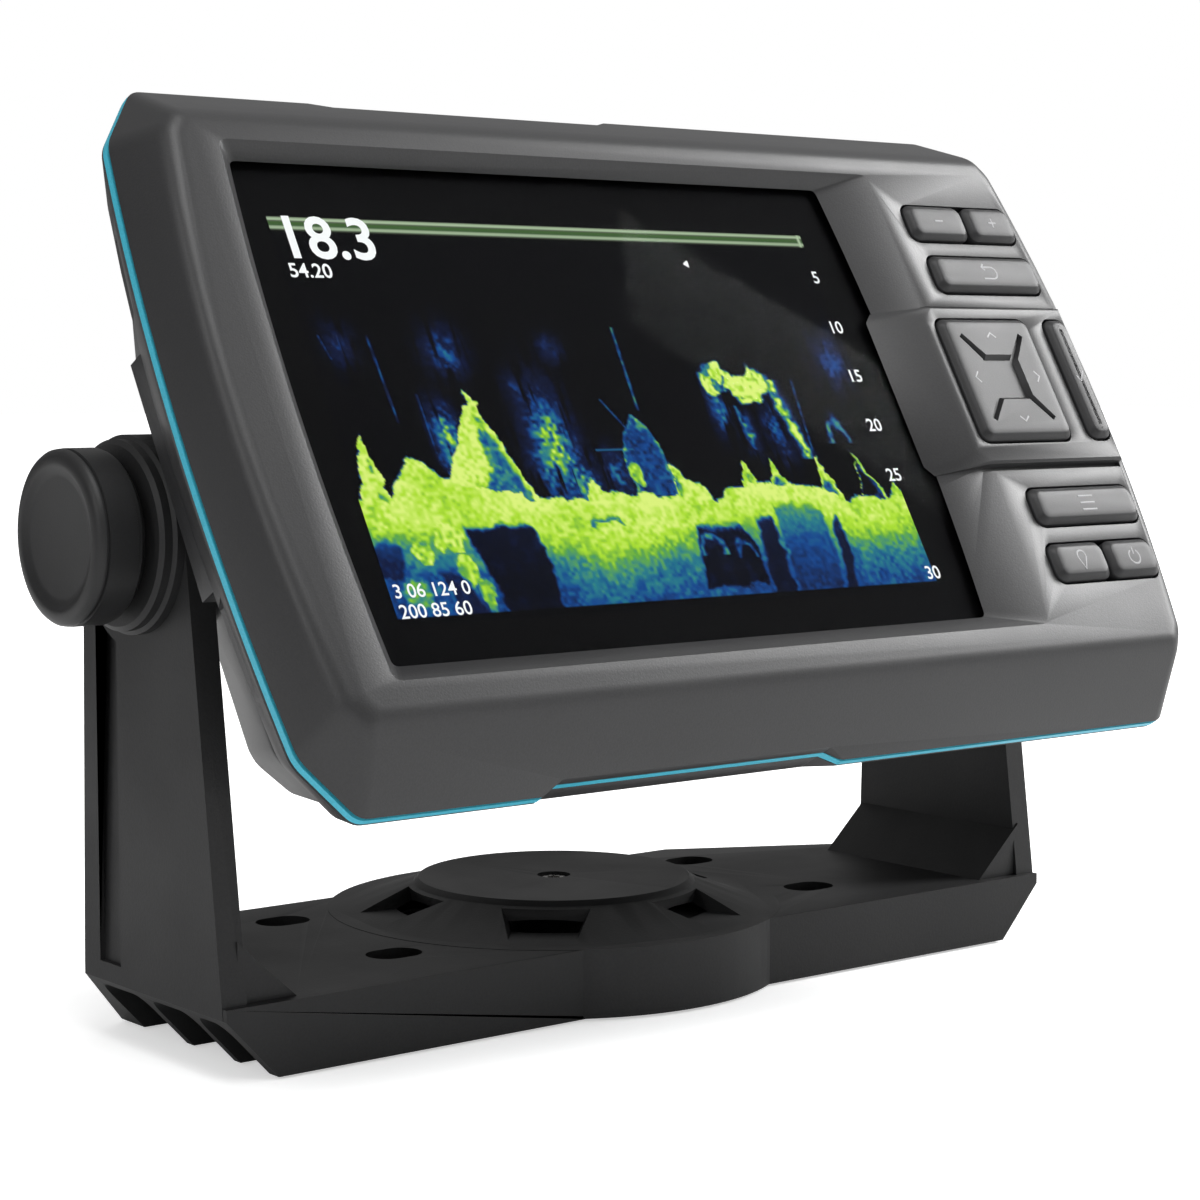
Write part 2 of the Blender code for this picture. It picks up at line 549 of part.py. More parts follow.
def make_pivots():
    for side, word in ((-1, "left"), (1, "right")):
        turn = (0, side * math.pi / 2, 0)
        bore, hole = STUD_R + GAP, STUD_R + 0.7
        turned(f"pivot_insert_{word}", [(bore, 74.2), (4.85, 74.2), (4.85, 63.0), (bore, 63.0)],
               BRASS, HEAD, (0, 0, 0), turn, 24, ring=True)
        turned(f"friction_disc_{word}", [(hole, 76.25), (11.5, 76.25), (11.5, 74.75), (hole, 74.75)],
               RUBBER, HEAD, (0, 0, 0), turn, 40, ring=True)


def make_display_stack():
    """Glass, gasket, panel and tray behind the window."""
    lens = rounded(WIN_LEFT - 1.6, WIN_RIGHT + 1.4, WIN_LOW - 1.6, WIN_HIGH + 1.2, 2.0)
    plate("display_lens", [lens], GLASS_Y, GLASS_Y + 1.2, GLASS, HEAD, "Y")
    middle = (WIN_LOW + WIN_HIGH) / 2
    plate("lens_gasket", [rounded(WIN_LEFT - 1.4, WIN_RIGHT + 1.2, WIN_LOW - 1.4, WIN_HIGH + 1.0, 2.0),
                          rounded(WIN_LEFT + 3.6, WIN_RIGHT - 5.0, middle - 33.5, middle + 33.0, 1.5)],
          GLASS_Y + 1.55, GLASS_Y + 2.2, RUBBER, HEAD, "Y")
    box("lcd_panel", (WIN_LEFT + 1.5, GLASS_Y + 2.55, middle - 35.5),
        (WIN_RIGHT - 3.0, GLASS_Y + 5.2, middle + 35.0), SCREEN, HEAD)
    box("lcd_backplate", (WIN_LEFT + 0.5, GLASS_Y + 5.55, middle - 36.5),
        (WIN_RIGHT - 2.0, GLASS_Y + 6.6, middle + 36.0), STEEL, HEAD)
    box("keypad_mat", (51.5, FACE_Y + 3.35, -36.0), (78.5, FACE_Y + 4.6, 37.0), RUBBER, HEAD)
    box("key_board", (50.0, FACE_Y + 4.95, -37.0), (79.0, FACE_Y + 6.4, 38.0), BOARD, HEAD)


def make_electronics():
    board_y = SPLIT_Y + 6.0
    board = box("main_board", (-58, board_y, -34), (58, board_y + 1.6, 34), BOARD, HEAD)
    for index, (x, z) in enumerate(((-54, -30), (54, -30), (-54, 30), (54, 30))):
        hole = cylinder(f"board_hole_{index}", 1.7, board_y - 1, board_y + 3, None, HEAD, (x, z), "Y", 16)
        cut(board, hole)
        turned(f"board_screw_{index + 1}", [
            (0, 3.4), (2.4, 3.4), (2.4, 1.95), (1.3, 1.95), (1.3, -4.0), (0, -4.0)],
            STEEL, HEAD, (x, board_y, z), (-math.pi / 2, 0, 0), 16)
    box("board_shield", (-30, board_y + 1.95, -12), (20, board_y + 6.0, 18), STEEL, HEAD)
    box("satellite_antenna", (-12.5, board_y + 1.95, 20), (12.5, board_y + 6.5, 33), CERAMIC, HEAD)
    box("lcd_ribbon", (-20, GLASS_Y + 7.0, -30), (10, GLASS_Y + 7.4, -12), RIBBON, HEAD)
    box("key_ribbon", (45, board_y - 4.4, -8), (62, board_y - 4.0, 6), RIBBON, HEAD)
    cylinder("buzzer", 6.0, board_y + 1.95, board_y + 8.5, BOARD, HEAD, (40, 14), "Y", 24)


def make_socket():
    """The round plug socket on the back, and the vent beside it."""
    x, z = SOCKET
    turn = (-math.pi / 2, 0, 0)
    turned("connector_shell", [(7.0, 6.5), (8.6, 6.5), (8.6, 0.75), (11.2, 0.75), (11.2, 0.35), (9.0, 0.35),
                               (9.0, -5.0), (7.0, -5.0)], MOUNT, HEAD, (x, BACK_Y, z), turn, 40, ring=True)
    turned("connector_gasket", [(8.95, 1.6), (10.9, 1.6), (10.9, 1.1), (8.95, 1.1)], RUBBER, HEAD,
           (x, BACK_Y, z), turn, 40, ring=True)
    insert = cylinder("connector_insert", 6.65, BACK_Y - 5.0, BACK_Y - 1.0, RUBBER, HEAD, SOCKET, "Y", 32)
    for index in range(4):
        angle = math.radians(45 + 90 * index)
        spot = (x + 3.2 * math.cos(angle), z + 3.2 * math.sin(angle))
        cut(insert, cylinder(f"pin_hole_{index}", 0.85, BACK_Y - 8, BACK_Y + 2, None, HEAD, spot, "Y", 12))
        cylinder(f"connector_pin_{index + 1}", 0.5, BACK_Y - 6.5, BACK_Y + 0.9, BRASS, HEAD, spot, "Y", 12)
    turned("vent_plug", [
        (0, 1.2), (3.6, 1.2), (4.6, 0.35), (3.0, 0.35), (3.0, -3.0), (0, -3.0)],
        RUBBER, HEAD, (VENT[0], BACK_Y, VENT[1]), turn, 24)


def make_housing_screws():
    for index, (x, z) in enumerate(HOUSING_SCREWS):
        screw = turned(f"housing_screw_{index + 1}", [
            (0, 0.6), (2.0, 0.6), (2.7, 0.1), (2.7, -0.55), (1.35, -0.55), (1.35, -12.0), (0, -12.0)],
            STEEL, HEAD, (x, BACK_Y, z), (-math.pi / 2, 0, 0), 20)
        drive = cylinder(f"screw_drive_{index}", 1.1, BACK_Y - 0.2, BACK_Y + 2, None, HEAD, (x, z), "Y", 6)
        cut(screw, drive)


def make_seal():
    """The cord gasket that lies inside the split between the case halves."""
    outer = [(x, z) for x, _, z in bowed(HEAD_HALF_W - 2.75, HEAD_HALF_H - 2.75, 2.5, 6.0, 8.8, 0)]
    inner = [(x, z) for x, _, z in bowed(HEAD_HALF_W - 4.2, HEAD_HALF_H - 4.2, 2.5, 5.8, 8.6, 0)]
    plate("housing_seal", [outer, inner], SPLIT_Y - 0.8, SPLIT_Y + 0.8, RUBBER, HEAD, "Y")


make_swivel_base()
make_bracket()
make_knob(-1, "left")
make_knob(1, "right")
make_bezel()
make_keys()
make_accent_band()
make_seal()
make_rear_housing()
make_pivots()
make_display_stack()
make_electronics()
make_socket()
make_housing_screws()
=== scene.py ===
"""Looks of the chartplotter display, for Blender 4.5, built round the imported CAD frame.

Shapes are drawn in millimetres, either in the world frame or in the head's own frame: x across, z up the
face and -y out of it, with its origin on the tilt axis. Meshes are then stored in metres in the world frame.
"""

import json
import math

import bmesh
import bpy
import numpy as np
from mathutils import Matrix, Vector


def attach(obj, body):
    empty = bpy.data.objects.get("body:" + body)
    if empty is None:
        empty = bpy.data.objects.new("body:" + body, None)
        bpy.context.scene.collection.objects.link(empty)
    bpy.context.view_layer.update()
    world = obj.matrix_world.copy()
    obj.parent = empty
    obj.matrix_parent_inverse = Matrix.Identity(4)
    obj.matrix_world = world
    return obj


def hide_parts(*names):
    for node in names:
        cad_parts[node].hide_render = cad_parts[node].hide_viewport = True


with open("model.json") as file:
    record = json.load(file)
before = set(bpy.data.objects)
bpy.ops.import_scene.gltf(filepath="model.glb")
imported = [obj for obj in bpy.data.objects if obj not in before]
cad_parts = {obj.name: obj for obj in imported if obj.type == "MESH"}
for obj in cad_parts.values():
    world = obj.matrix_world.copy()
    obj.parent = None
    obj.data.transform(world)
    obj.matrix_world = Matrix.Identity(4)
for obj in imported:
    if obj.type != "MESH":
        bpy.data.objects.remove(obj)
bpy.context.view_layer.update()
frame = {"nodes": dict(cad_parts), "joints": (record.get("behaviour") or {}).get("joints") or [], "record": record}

MM = 0.001
JOINTS = {joint["name"]: joint for joint in frame["joints"]}
SLOT_OF = {row["node"]: row["material_slot"] for row in frame["record"]["subparts"]}

# The head's frame, from the tilt axis and the way the keys travel
PIVOT = Vector(JOINTS["tilt"]["pos_m"])
ACROSS = Vector((1, 0, 0))
INTO = Vector(JOINTS["menu_press"]["axis"]).normalized()
UPWARD = ACROSS.cross(INTO)
TURN = Matrix((ACROSS, INTO, UPWARD)).transposed().to_4x4()
WORLD = Matrix.Scale(MM, 4)
HEAD = Matrix.Translation(PIVOT) @ TURN @ WORLD


def span(node, place):
    """Lowest and highest corner of a CAD node, in millimetres, in the frame that place gives."""
    inverse = place.inverted()
    points = [inverse @ vertex.co for vertex in frame["nodes"][node].data.vertices]
    low = Vector([min(p[i] for p in points) for i in range(3)])
    high = Vector([max(p[i] for p in points) for i in range(3)])
    return low, high


def middle(low, high):
    """The (x, z) middle of a span."""
    return (low.x + high.x) / 2, (low.z + high.z) / 2


BEZEL_LOW, BEZEL_HIGH = span("front_bezel", HEAD)
LENS_LOW, LENS_HIGH = span("display_lens", HEAD)
BAND_LOW, BAND_HIGH = span("accent_band", HEAD)
BACK_Y = span("rear_housing", HEAD)[1].y
FOOT_LOW, FOOT_HIGH = span("bail_bracket", WORLD)
KNOB_LOW, KNOB_HIGH = span("knob_right", WORLD)

# The head
SPLIT_Y = (BAND_LOW.y + BAND_HIGH.y) / 2
HALF_W, HALF_H = BEZEL_HIGH.x, BEZEL_HIGH.z
BLOCK_LIFT = 0.8
FACE_Y = BEZEL_LOW.y + BLOCK_LIFT
FACE_HALF_W, FACE_HALF_H = HALF_W - 2.2, HALF_H - 9.5
GLASS_Y = LENS_LOW.y
WALL = 2.5
SEAM = 0.78  # half the gap that the accent band fills
WIN_LEFT, WIN_RIGHT = LENS_LOW.x + 1.6, LENS_HIGH.x - 1.4
WIN_LOW, WIN_HIGH = LENS_LOW.z + 1.6, LENS_HIGH.z - 1.2
KEY_GAP = 0.42
KEY_R = 1.7
KEY_CROWN = 0.05

# The mount
PIVOT_Y, PIVOT_Z = PIVOT.y / MM, PIVOT.z / MM
ARM_OUT, ARM_IN = 80.6, 76.6
ARM_HEAD_R = 14.0
RING_OUT = FOOT_HIGH.x
PLATE_LOW, PLATE_TOP = FOOT_LOW.z, 10.9
PLATE_FRONT, ARM_BACK, PLATE_BACK = -31.3, 8.0, 26.5
BULGE_R, BOSS_CONE_R, BOSS_DISC_R = 36.5, 33.4, 22.4
BOSS_TOP = 15.6
SLOT_X, SLOT_Y = 42.0, 15.3
KNOB_OUT = KNOB_HIGH.x
KNOB_R = (KNOB_HIGH.z - KNOB_LOW.z) / 2


# ---------------------------------------------------------------- materials


def shader_of(name):
    """A new Principled material: (material, node tree, shader)."""
    made = bpy.data.materials.new(name)
    made.use_nodes = True
    tree = made.node_tree
    return made, tree, tree.nodes["Principled BSDF"]


def noise_node(tree, coords, scale, detail, roughness=0.5):
    made = tree.nodes.new("ShaderNodeTexNoise")
    made.inputs["Scale"].default_value = scale
    made.inputs["Detail"].default_value = detail
    made.inputs["Roughness"].default_value = roughness
    tree.links.new(coords.outputs["Object"], made.inputs["Vector"])
    return made


def ramp_between(tree, source, low, high):
    """A Map Range node that turns a noise of about 0.3 to 0.7 into low to high."""
    made = tree.nodes.new("ShaderNodeMapRange")
    made.inputs["From Min"].default_value = 0.3
    made.inputs["From Max"].default_value = 0.7
    made.inputs["To Min"].default_value = low
    made.inputs["To Max"].default_value = high
    tree.links.new(source, made.inputs["Value"])
    return made


def moulded(name, colour, roughness, grain=0.12, grain_size=0.35, patchy=0.06, specular=0.5):
    """Moulded plastic or rubber: fine grain, soft patches in gloss and a slight change of shade."""
    made, tree, shader = shader_of(name)
    coords = tree.nodes.new("ShaderNodeTexCoord")
    fine = noise_node(tree, coords, 1 / (grain_size * MM), 2.0, 0.6)
    broad = noise_node(tree, coords, 45.0, 4.0)
    bump = tree.nodes.new("ShaderNodeBump")
    bump.inputs["Strength"].default_value = grain
    bump.inputs["Distance"].default_value = 0.00012
    tree.links.new(fine.outputs["Fac"], bump.inputs["Height"])
    tree.links.new(bump.outputs["Normal"], shader.inputs["Normal"])
    gloss = ramp_between(tree, broad.outputs["Fac"], roughness - patchy, roughness + patchy)
    tree.links.new(gloss.outputs["Result"], shader.inputs["Roughness"])
    shade = tree.nodes.new("ShaderNodeMix")
    shade.data_type = "RGBA"
    shade.inputs["A"].default_value = (*(c * 0.88 for c in colour), 1)
    shade.inputs["B"].default_value = (*(c * 1.12 for c in colour), 1)
    speck = ramp_between(tree, fine.outputs["Fac"], 0.0, 1.0)
    tree.links.new(speck.outputs["Result"], shade.inputs["Factor"])
    tree.links.new(shade.outputs["Result"], shader.inputs["Base Color"])
    shader.inputs["Specular IOR Level"].default_value = specular
    return made


def metal(name, colour, roughness):
    """Machined metal: fine turning marks that change the gloss."""
    made, tree, shader = shader_of(name)
    coords = tree.nodes.new("ShaderNodeTexCoord")
    marks = noise_node(tree, coords, 1800.0, 3.0)
    gloss = ramp_between(tree, marks.outputs["Fac"], roughness * 0.7, roughness * 1.3)
    tree.links.new(gloss.outputs["Result"], shader.inputs["Roughness"])
    bump = tree.nodes.new("ShaderNodeBump")
    bump.inputs["Strength"].default_value = 0.08
    bump.inputs["Distance"].default_value = 0.00005
    tree.links.new(marks.outputs["Fac"], bump.inputs["Height"])
    tree.links.new(bump.outputs["Normal"], shader.inputs["Normal"])
    shader.inputs["Base Color"].default_value = (*colour, 1)
    shader.inputs["Metallic"].default_value = 1.0
    return made


def board_material():
    """Solder resist with the faint pattern of tracks under it."""
    made, tree, shader = shader_of("circuit_board_look")
    coords = tree.nodes.new("ShaderNodeTexCoord")
    tracks = tree.nodes.new("ShaderNodeTexVoronoi")
    tracks.distance = "MANHATTAN"
    tracks.feature = "DISTANCE_TO_EDGE"
    tracks.inputs["Scale"].default_value = 260.0
    tree.links.new(coords.outputs["Object"], tracks.inputs["Vector"])
    shade = tree.nodes.new("ShaderNodeMix")
    shade.data_type = "RGBA"
    shade.inputs["A"].default_value = (0.03, 0.22, 0.09, 1)
    shade.inputs["B"].default_value = (0.015, 0.12, 0.05, 1)
    tree.links.new(tracks.outputs["Distance"], shade.inputs["Factor"])
    tree.links.new(shade.outputs["Result"], shader.inputs["Base Color"])
    shader.inputs["Roughness"].default_value = 0.35
    return made


def glass_material():
    """Clear cover glass with a low-reflection coating and faint wipe marks."""
    made, tree, shader = shader_of("cover_glass_look")
    coords = tree.nodes.new("ShaderNodeTexCoord")
    smears = noise_node(tree, coords, 60.0, 3.0)
    gloss = ramp_between(tree, smears.outputs["Fac"], 0.02, 0.06)
    tree.links.new(gloss.outputs["Result"], shader.inputs["Roughness"])
    shader.inputs["Base Color"].default_value = (0.97, 0.98, 1.0, 1)
    shader.inputs["Transmission Weight"].default_value = 1.0
    shader.inputs["IOR"].default_value = 1.02
    return made


def picture_material():
    """The lit picture, coloured by the mesh's own colour attribute."""
    made, tree, shader = shader_of("lcd_picture_look")
    colours = tree.nodes.new("ShaderNodeAttribute")
    colours.attribute_name = "picture"
    shader.inputs["Base Color"].default_value = (0.0, 0.0, 0.0, 1)
    shader.inputs["Roughness"].default_value = 0.4
    shader.inputs["Specular IOR Level"].default_value = 0.1
    tree.links.new(colours.outputs["Color"], shader.inputs["Emission Color"])
    shader.inputs["Emission Strength"].default_value = 1.0
    return made


def lit(name, colour, strength):
    made, _, shader = shader_of(name)
    shader.inputs["Base Color"].default_value = (0.0, 0.0, 0.0, 1)
    shader.inputs["Emission Color"].default_value = (*colour, 1)
    shader.inputs["Emission Strength"].default_value = strength
    return made


LOOKS = {
    "case_plastic": moulded("case_plastic_look", (0.026, 0.026, 0.027), 0.42, 0.16, 0.30, 0.03, 0.42),
    "mount_plastic": moulded("mount_plastic_look", (0.016, 0.016, 0.0165), 0.50, 0.20, 0.40, 0.05, 0.30),
    "knob_plastic": moulded("knob_plastic_look", (0.016, 0.016, 0.0165), 0.42, 0.10, 0.30, 0.05, 0.34),
    "accent_teal": moulded("accent_teal_look", (0.045, 0.42, 0.56), 0.42, 0.05, 0.30, 0.04),
    "key_rubber": moulded("key_rubber_look", (0.020, 0.020, 0.021), 0.45, 0.12, 0.22, 0.04, 0.36),
    "cover_glass": glass_material(),
    "lcd_screen": picture_material(),
    "stainless_steel": metal("stainless_steel_look", (0.62, 0.61, 0.59), 0.28),
    "brass": metal("brass_look", (0.72, 0.52, 0.26), 0.3),
    "seal_rubber": moulded("seal_rubber_look", (0.014, 0.014, 0.014), 0.7, 0.1, 0.25, 0.08, 0.3),
    "circuit_board": board_material(),
    "antenna_ceramic": moulded("antenna_ceramic_look", (0.72, 0.66, 0.55), 0.5, 0.1, 0.3, 0.05),
    "ribbon_film": moulded("ribbon_film_look", (0.42, 0.17, 0.04), 0.3, 0.03, 0.8, 0.05),
}
PRINT = moulded("key_print_look", (0.30, 0.30, 0.31), 0.5, 0.05, 0.3, 0.05)
MASK = moulded("glass_mask_look", (0.002, 0.002, 0.0022), 0.4, 0.0, 0.5, 0.03, 0.1)
GLOW = lit("lcd_white_look", (0.95, 0.97, 0.95), 1.0)


# ---------------------------------------------------------------- mesh helpers

BEVEL_SEGMENTS = 2
BEVEL_FROM = math.radians(28)  # edges sharper than this are rounded
CORNER_STEPS = 6


def piece(name, mesh, place, body, slot, replaced=(), bevel=0.0, smooth=32, look=None):
    """A finished piece, moved to the world frame and riding on its body, in its slot's look or in another."""
    mesh.transform(place)
    made = bpy.data.objects.new(name, mesh)
    bpy.context.scene.collection.objects.link(made)
    mesh.materials.clear()
    mesh.materials.append(look or LOOKS[slot])
    finish_edges(made, bevel, smooth)
    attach(made, body)
    if replaced:
        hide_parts(*replaced)
    return made


def finish_edges(made, bevel, smooth):
    """Rounded edges as geometry, then smooth shading up to the given angle."""
    if bevel:
        rounding = made.modifiers.new("round", "BEVEL")
        rounding.width = bevel * MM
        rounding.segments = BEVEL_SEGMENTS
        rounding.limit_method = "ANGLE"
        rounding.angle_limit = BEVEL_FROM
        rounding.miter_outer = "MITER_ARC"
        apply_modifiers(made)
    made.data.shade_smooth()
    made.data.set_sharp_from_angle(angle=math.radians(smooth))


def evaluated_mesh(made):
    """A new mesh of the object as its modifiers or its curve make it."""
    graph = bpy.context.evaluated_depsgraph_get()
    graph.update()
    return bpy.data.meshes.new_from_object(made.evaluated_get(graph))


def apply_modifiers(made):
    mesh = evaluated_mesh(made)
    made.modifiers.clear()
    made.data = mesh


def mesh_from(name, build):
    bm = bmesh.new()
    build(bm)
    bmesh.ops.recalc_face_normals(bm, faces=bm.faces)
    mesh = bpy.data.meshes.new(name)
    bm.to_mesh(mesh)
    bm.free()
    return mesh


def loft(rings, closed_loop=False):
    """A mesh through rings of the same number of points."""
    def build(bm):
        loops = [[bm.verts.new(p) for p in ring] for ring in rings]
        pairs = list(zip(loops, loops[1:]))
        if closed_loop:
            pairs.append((loops[-1], loops[0]))
        count = len(rings[0])
        for a, b in pairs:
            for i in range(count):
                j = (i + 1) % count
                bm.faces.new((a[i], a[j], b[j], b[i]))
        if not closed_loop:
            bm.faces.new(loops[0])
            bm.faces.new(loops[-1])
    return mesh_from("loft", build)


def box(low, high):
    low, high = Vector(low), Vector(high)
    return mesh_from("box", lambda bm: bmesh.ops.create_cube(
        bm, size=1.0, matrix=Matrix.Translation((low + high) / 2) @ Matrix.Diagonal((*(high - low),
                                                                                     1.0))))


AXES = {"Z": Matrix(), "X": Matrix.Rotation(math.pi / 2, 4, "Y"),
        "Y": Matrix.Rotation(-math.pi / 2, 4, "X")}


def cylinder(radius, low, high, centre=(0, 0), axis="Z", sides=64):
    """A cylinder along an axis; centre is the other two coordinates in X, Y, Z order."""
    mid = (low + high) / 2
    spot = {"Z": (*centre, mid), "X": (mid, *centre), "Y": (centre[0], mid, centre[1])}[axis]
    return mesh_from("cylinder", lambda bm: bmesh.ops.create_cone(
        bm, cap_ends=True, segments=sides, radius1=radius, radius2=radius, depth=high - low,
        matrix=Matrix.Translation(spot) @ AXES[axis]))


def turned(profile, steps=96, ring=False):
    """A profile of (radius, height) points turned about Z. A ring's profile stays off the axis."""
    def build(bm):
        columns = []
        for step in range(steps):
            angle = 2 * math.pi * step / steps
            columns.append([None if r == 0 else bm.verts.new((r * math.cos(angle), r * math.sin(angle),
                                                              z))
                            for r, z in profile])
        poles = {i: bm.verts.new((0, 0, z)) for i, (r, z) in enumerate(profile) if r == 0}
        last = len(profile) if ring else len(profile) - 1
        for step in range(steps):
            here, there = columns[step], columns[(step + 1) % steps]
            for i in range(last):
                j = (i + 1) % len(profile)
                corners = [here[i] or poles[i], here[j] or poles[j], there[j] or poles[j],
                           there[i] or poles[i]]
                unique = list(dict.fromkeys(corners))
                if len(unique) > 2:
                    bm.faces.new(unique)
    return mesh_from("turned", build)


def prism(outline, low, high, axis="Z"):
    """An outline given thickness. It lies in XY, in XZ for axis Y, or in YZ for axis X."""
    lift = {"Z": lambda a, b, c: (a, b, c), "Y": lambda a, b, c: (a, c, b), "X": lambda a, b,
            c: (c, a, b)}[axis]
    return loft([[lift(a, b, c) for a, b in outline] for c in (low, high)])


def sides_of(side, near, far):
    """Two places on one side of the middle, lowest first."""
    return sorted((side * near, side * far))


def hexagon(radius):
    return [(radius * math.cos(math.pi * i / 3), radius * math.sin(math.pi * i / 3)) for i in range(6)]


def solid(mesh):
    """An object for Boolean work only."""
    made = bpy.data.objects.new("work", mesh)
    bpy.context.scene.collection.objects.link(made)
    return made


def combine(base, others, operation):
    """The base mesh with others cut from it or joined to it. Every mesh here is in millimetres."""
    host = solid(base)
    tools = [solid(other) for other in others]
    for tool in tools:
        made = host.modifiers.new("work", "BOOLEAN")
        made.operation = operation
        made.solver = "EXACT"
        made.object = tool
    apply_modifiers(host)
    mesh = host.data
    for done in [host, *tools]:
        bpy.data.objects.remove(done)
    return mesh


def cut(base, *others):
    return combine(base, others, "DIFFERENCE")


def join(base, *others):
    return combine(base, others, "UNION")


def tidy(mesh, angle=1.0):
    """Welds what a Boolean left apart and dissolves the flat edges inside faces, ready for a bevel."""
    bm = bmesh.new()
    bm.from_mesh(mesh)
    bmesh.ops.remove_doubles(bm, verts=bm.verts, dist=0.004)
    bmesh.ops.dissolve_limit(bm, angle_limit=math.radians(angle), verts=bm.verts, edges=bm.edges)
    bm.to_mesh(mesh)
    bm.free()
    return mesh


def rounded(left, right, low, high, radius):
    """A rectangle with round corners, anticlockwise."""
    corners = ((right - radius, high - radius, 0), (left + radius, high - radius, 90),
               (left + radius, low + radius, 180), (right - radius, low + radius, 270))
    points = []
    for cx, cy, start in corners:
        for i in range(CORNER_STEPS + 1):
            angle = math.radians(start + 90 * i / CORNER_STEPS)
            points.append((cx + radius * math.cos(angle), cy + radius * math.sin(angle)))
    return points


def bend(a, corner, b, t):
    """A point on the curve from a to b that the corner pulls."""
    return (1 - t) ** 2 * a + 2 * t * (1 - t) * corner + t * t * b


def quarter_outline(half_w, half_h, bow, cut_x, cut_z, soft, side, arc):
    """From the middle of the right side, round the cut corner, to the middle of the top."""
    reach = half_h - cut_z
    slant = Vector((-cut_x, cut_z)).normalized() * soft
    low_corner = Vector((half_w - bow, reach))
    top_corner = Vector((half_w - bow - cut_x, half_h))
    start = reach - soft
    points = [Vector((half_w - bow * (start * i / side / reach) ** 2,
                      start * i / side)) for i in range(side)]
    begin = Vector((half_w - bow * (start / reach) ** 2, start))
    for corner, before, after in ((low_corner, begin, low_corner + slant),
                                  (top_corner, top_corner - slant, top_corner - Vector((soft, 0)))):
        points += [bend(before, corner, after, i / arc) for i in range(arc + 1)]
    edge = top_corner.x - soft
    points += [Vector((edge * (1 - i / 6), half_h)) for i in range(1, 7)]
    return points


def outline(half_w, half_h, bow, cut_x, cut_z, soft=1.6, side=12, arc=5):
    """The case's outline: bowed sides, straight top and bottom, and cut corners that are softened."""
    right_top = quarter_outline(half_w, half_h, bow, cut_x, cut_z, soft, side, arc)
    left_top = [Vector((-p.x, p.y)) for p in reversed(right_top)]
    left_low = [-p for p in right_top]
    right_low = [-p for p in left_top]
    return [p for part in (right_top, left_top, left_low, right_low) for p in part[:-1]]


def case_ring(y, *shape, **more):
    return [(p.x, y, p.y) for p in outline(*shape, **more)]


# ---------------------------------------------------------------- front bezel

SPLIT_SHAPE = (HALF_W, HALF_H, 2.5, 6.2, 9.0)
FACE_SHAPE = (FACE_HALF_W, FACE_HALF_H, 4.0, 2.0, 2.8)
RIDGE = 0.24  # share of the wall's depth that the rounded ridge takes
RIDGE_W, RIDGE_H = 2.6, 1.9  # how far the ridge reaches over the face


def mix_shapes(a, b, t):
    return tuple(x + (y - x) * t for x, y in zip(a, b))


def bezel_rings():
    """From the seam to the face, with a rounded ridge round the face."""
    y0 = SPLIT_Y - SEAM
    lip = tuple(v - d for v, d in zip(SPLIT_SHAPE, (0.35, 0.35, 0, 0, 0)))
    rings = [case_ring(y0, *lip), case_ring(y0 - 0.35, *SPLIT_SHAPE)]
    start = 1 - RIDGE
    begin = mix_shapes(SPLIT_SHAPE, FACE_SHAPE, start)
    begin_y = y0 + (FACE_Y - y0) * start
    end = (FACE_HALF_W - RIDGE_W, FACE_HALF_H - RIDGE_H, 4.0, 1.2, 1.7)
    for i in range(9):
        t = i / 8
        shape = tuple(bend(a, b, c, t) for a, b, c in zip(begin, FACE_SHAPE, end))
        rings.append(case_ring(bend(begin_y, FACE_Y, FACE_Y, t), *shape, soft=1.6 - 0.9 * t))
    return rings


def window_ring(y, left, right, low, high, radius=1.2):
    """The window's outline with slightly bowed sides and small round corners."""
    x0, x1 = WIN_LEFT - left, WIN_RIGHT + right
    z0, z1 = WIN_LOW - low, WIN_HIGH + high
    mid, reach = (z0 + z1) / 2, (z1 - z0) / 2
    points = []
    for side, edge, bow in ((1, x1, 1.8), (-1, x0, -1.6)):
        column = []
        for i in range(15):
            share = -1 + 2 * i / 14
            column.append(Vector((edge - bow * share ** 2, mid + share * (reach - radius))))
        if side < 0:
            column.reverse()
        turn_z = -side * reach
        first, final = column[0], column[-1]
        inward = Vector((-side * radius, 0))
        start_corner = Vector((first.x, mid + turn_z))
        end_corner = Vector((final.x, mid - turn_z))
        column = ([bend(start_corner + inward, start_corner, first, i / 4) for i in range(4)] + column
                  + [bend(final, end_corner, end_corner + inward, i / 4) for i in range(1, 5)])
        points += column
    return [(p.x, y, p.y) for p in points]


def grip_cut(side):
    """The long shallow recess in the case's top or bottom edge, with sloped ends."""
    z = side * HALF_H
    depth = 1.6 * side
    section = [(-48.5, z), (-45.5, z - depth), (4.0, z - depth), (7.0, z), (7.0, z + 8 * side),
               (-48.5, z + 8 * side)]
    return prism(section, SPLIT_Y - 14, SPLIT_Y + 14, "Y")


BLOCK_LOW, BLOCK_HIGH, BLOCK_RIGHT = -12.9, 15.9, 82.2
BLOCK_FOOT, BLOCK_EDGE = 39.2, 48.6


def block_ring(y, left, grow, corner):
    """Outline of the block round the arrow pad, with its corners cut on the window's side."""
    low, high, right = BLOCK_LOW - grow, BLOCK_HIGH + grow, BLOCK_RIGHT + grow
    return [(left + corner, y, low), (right, y, low), (right, y, high), (left + corner, y, high),
            (left, y, high - corner), (left, y, low + corner)]


def key_spans():
    """Each key's (low, high) corners in the head's frame."""
    names = [name for name in SLOT_OF if name.startswith("key_") and SLOT_OF[name] == "key_rubber"]
    return {name: span(name, HEAD) for name in names}


KEYS = key_spans()
PAIRS = (("key_zoom_out", "key_zoom_in"), ("key_mark", "key_power"))


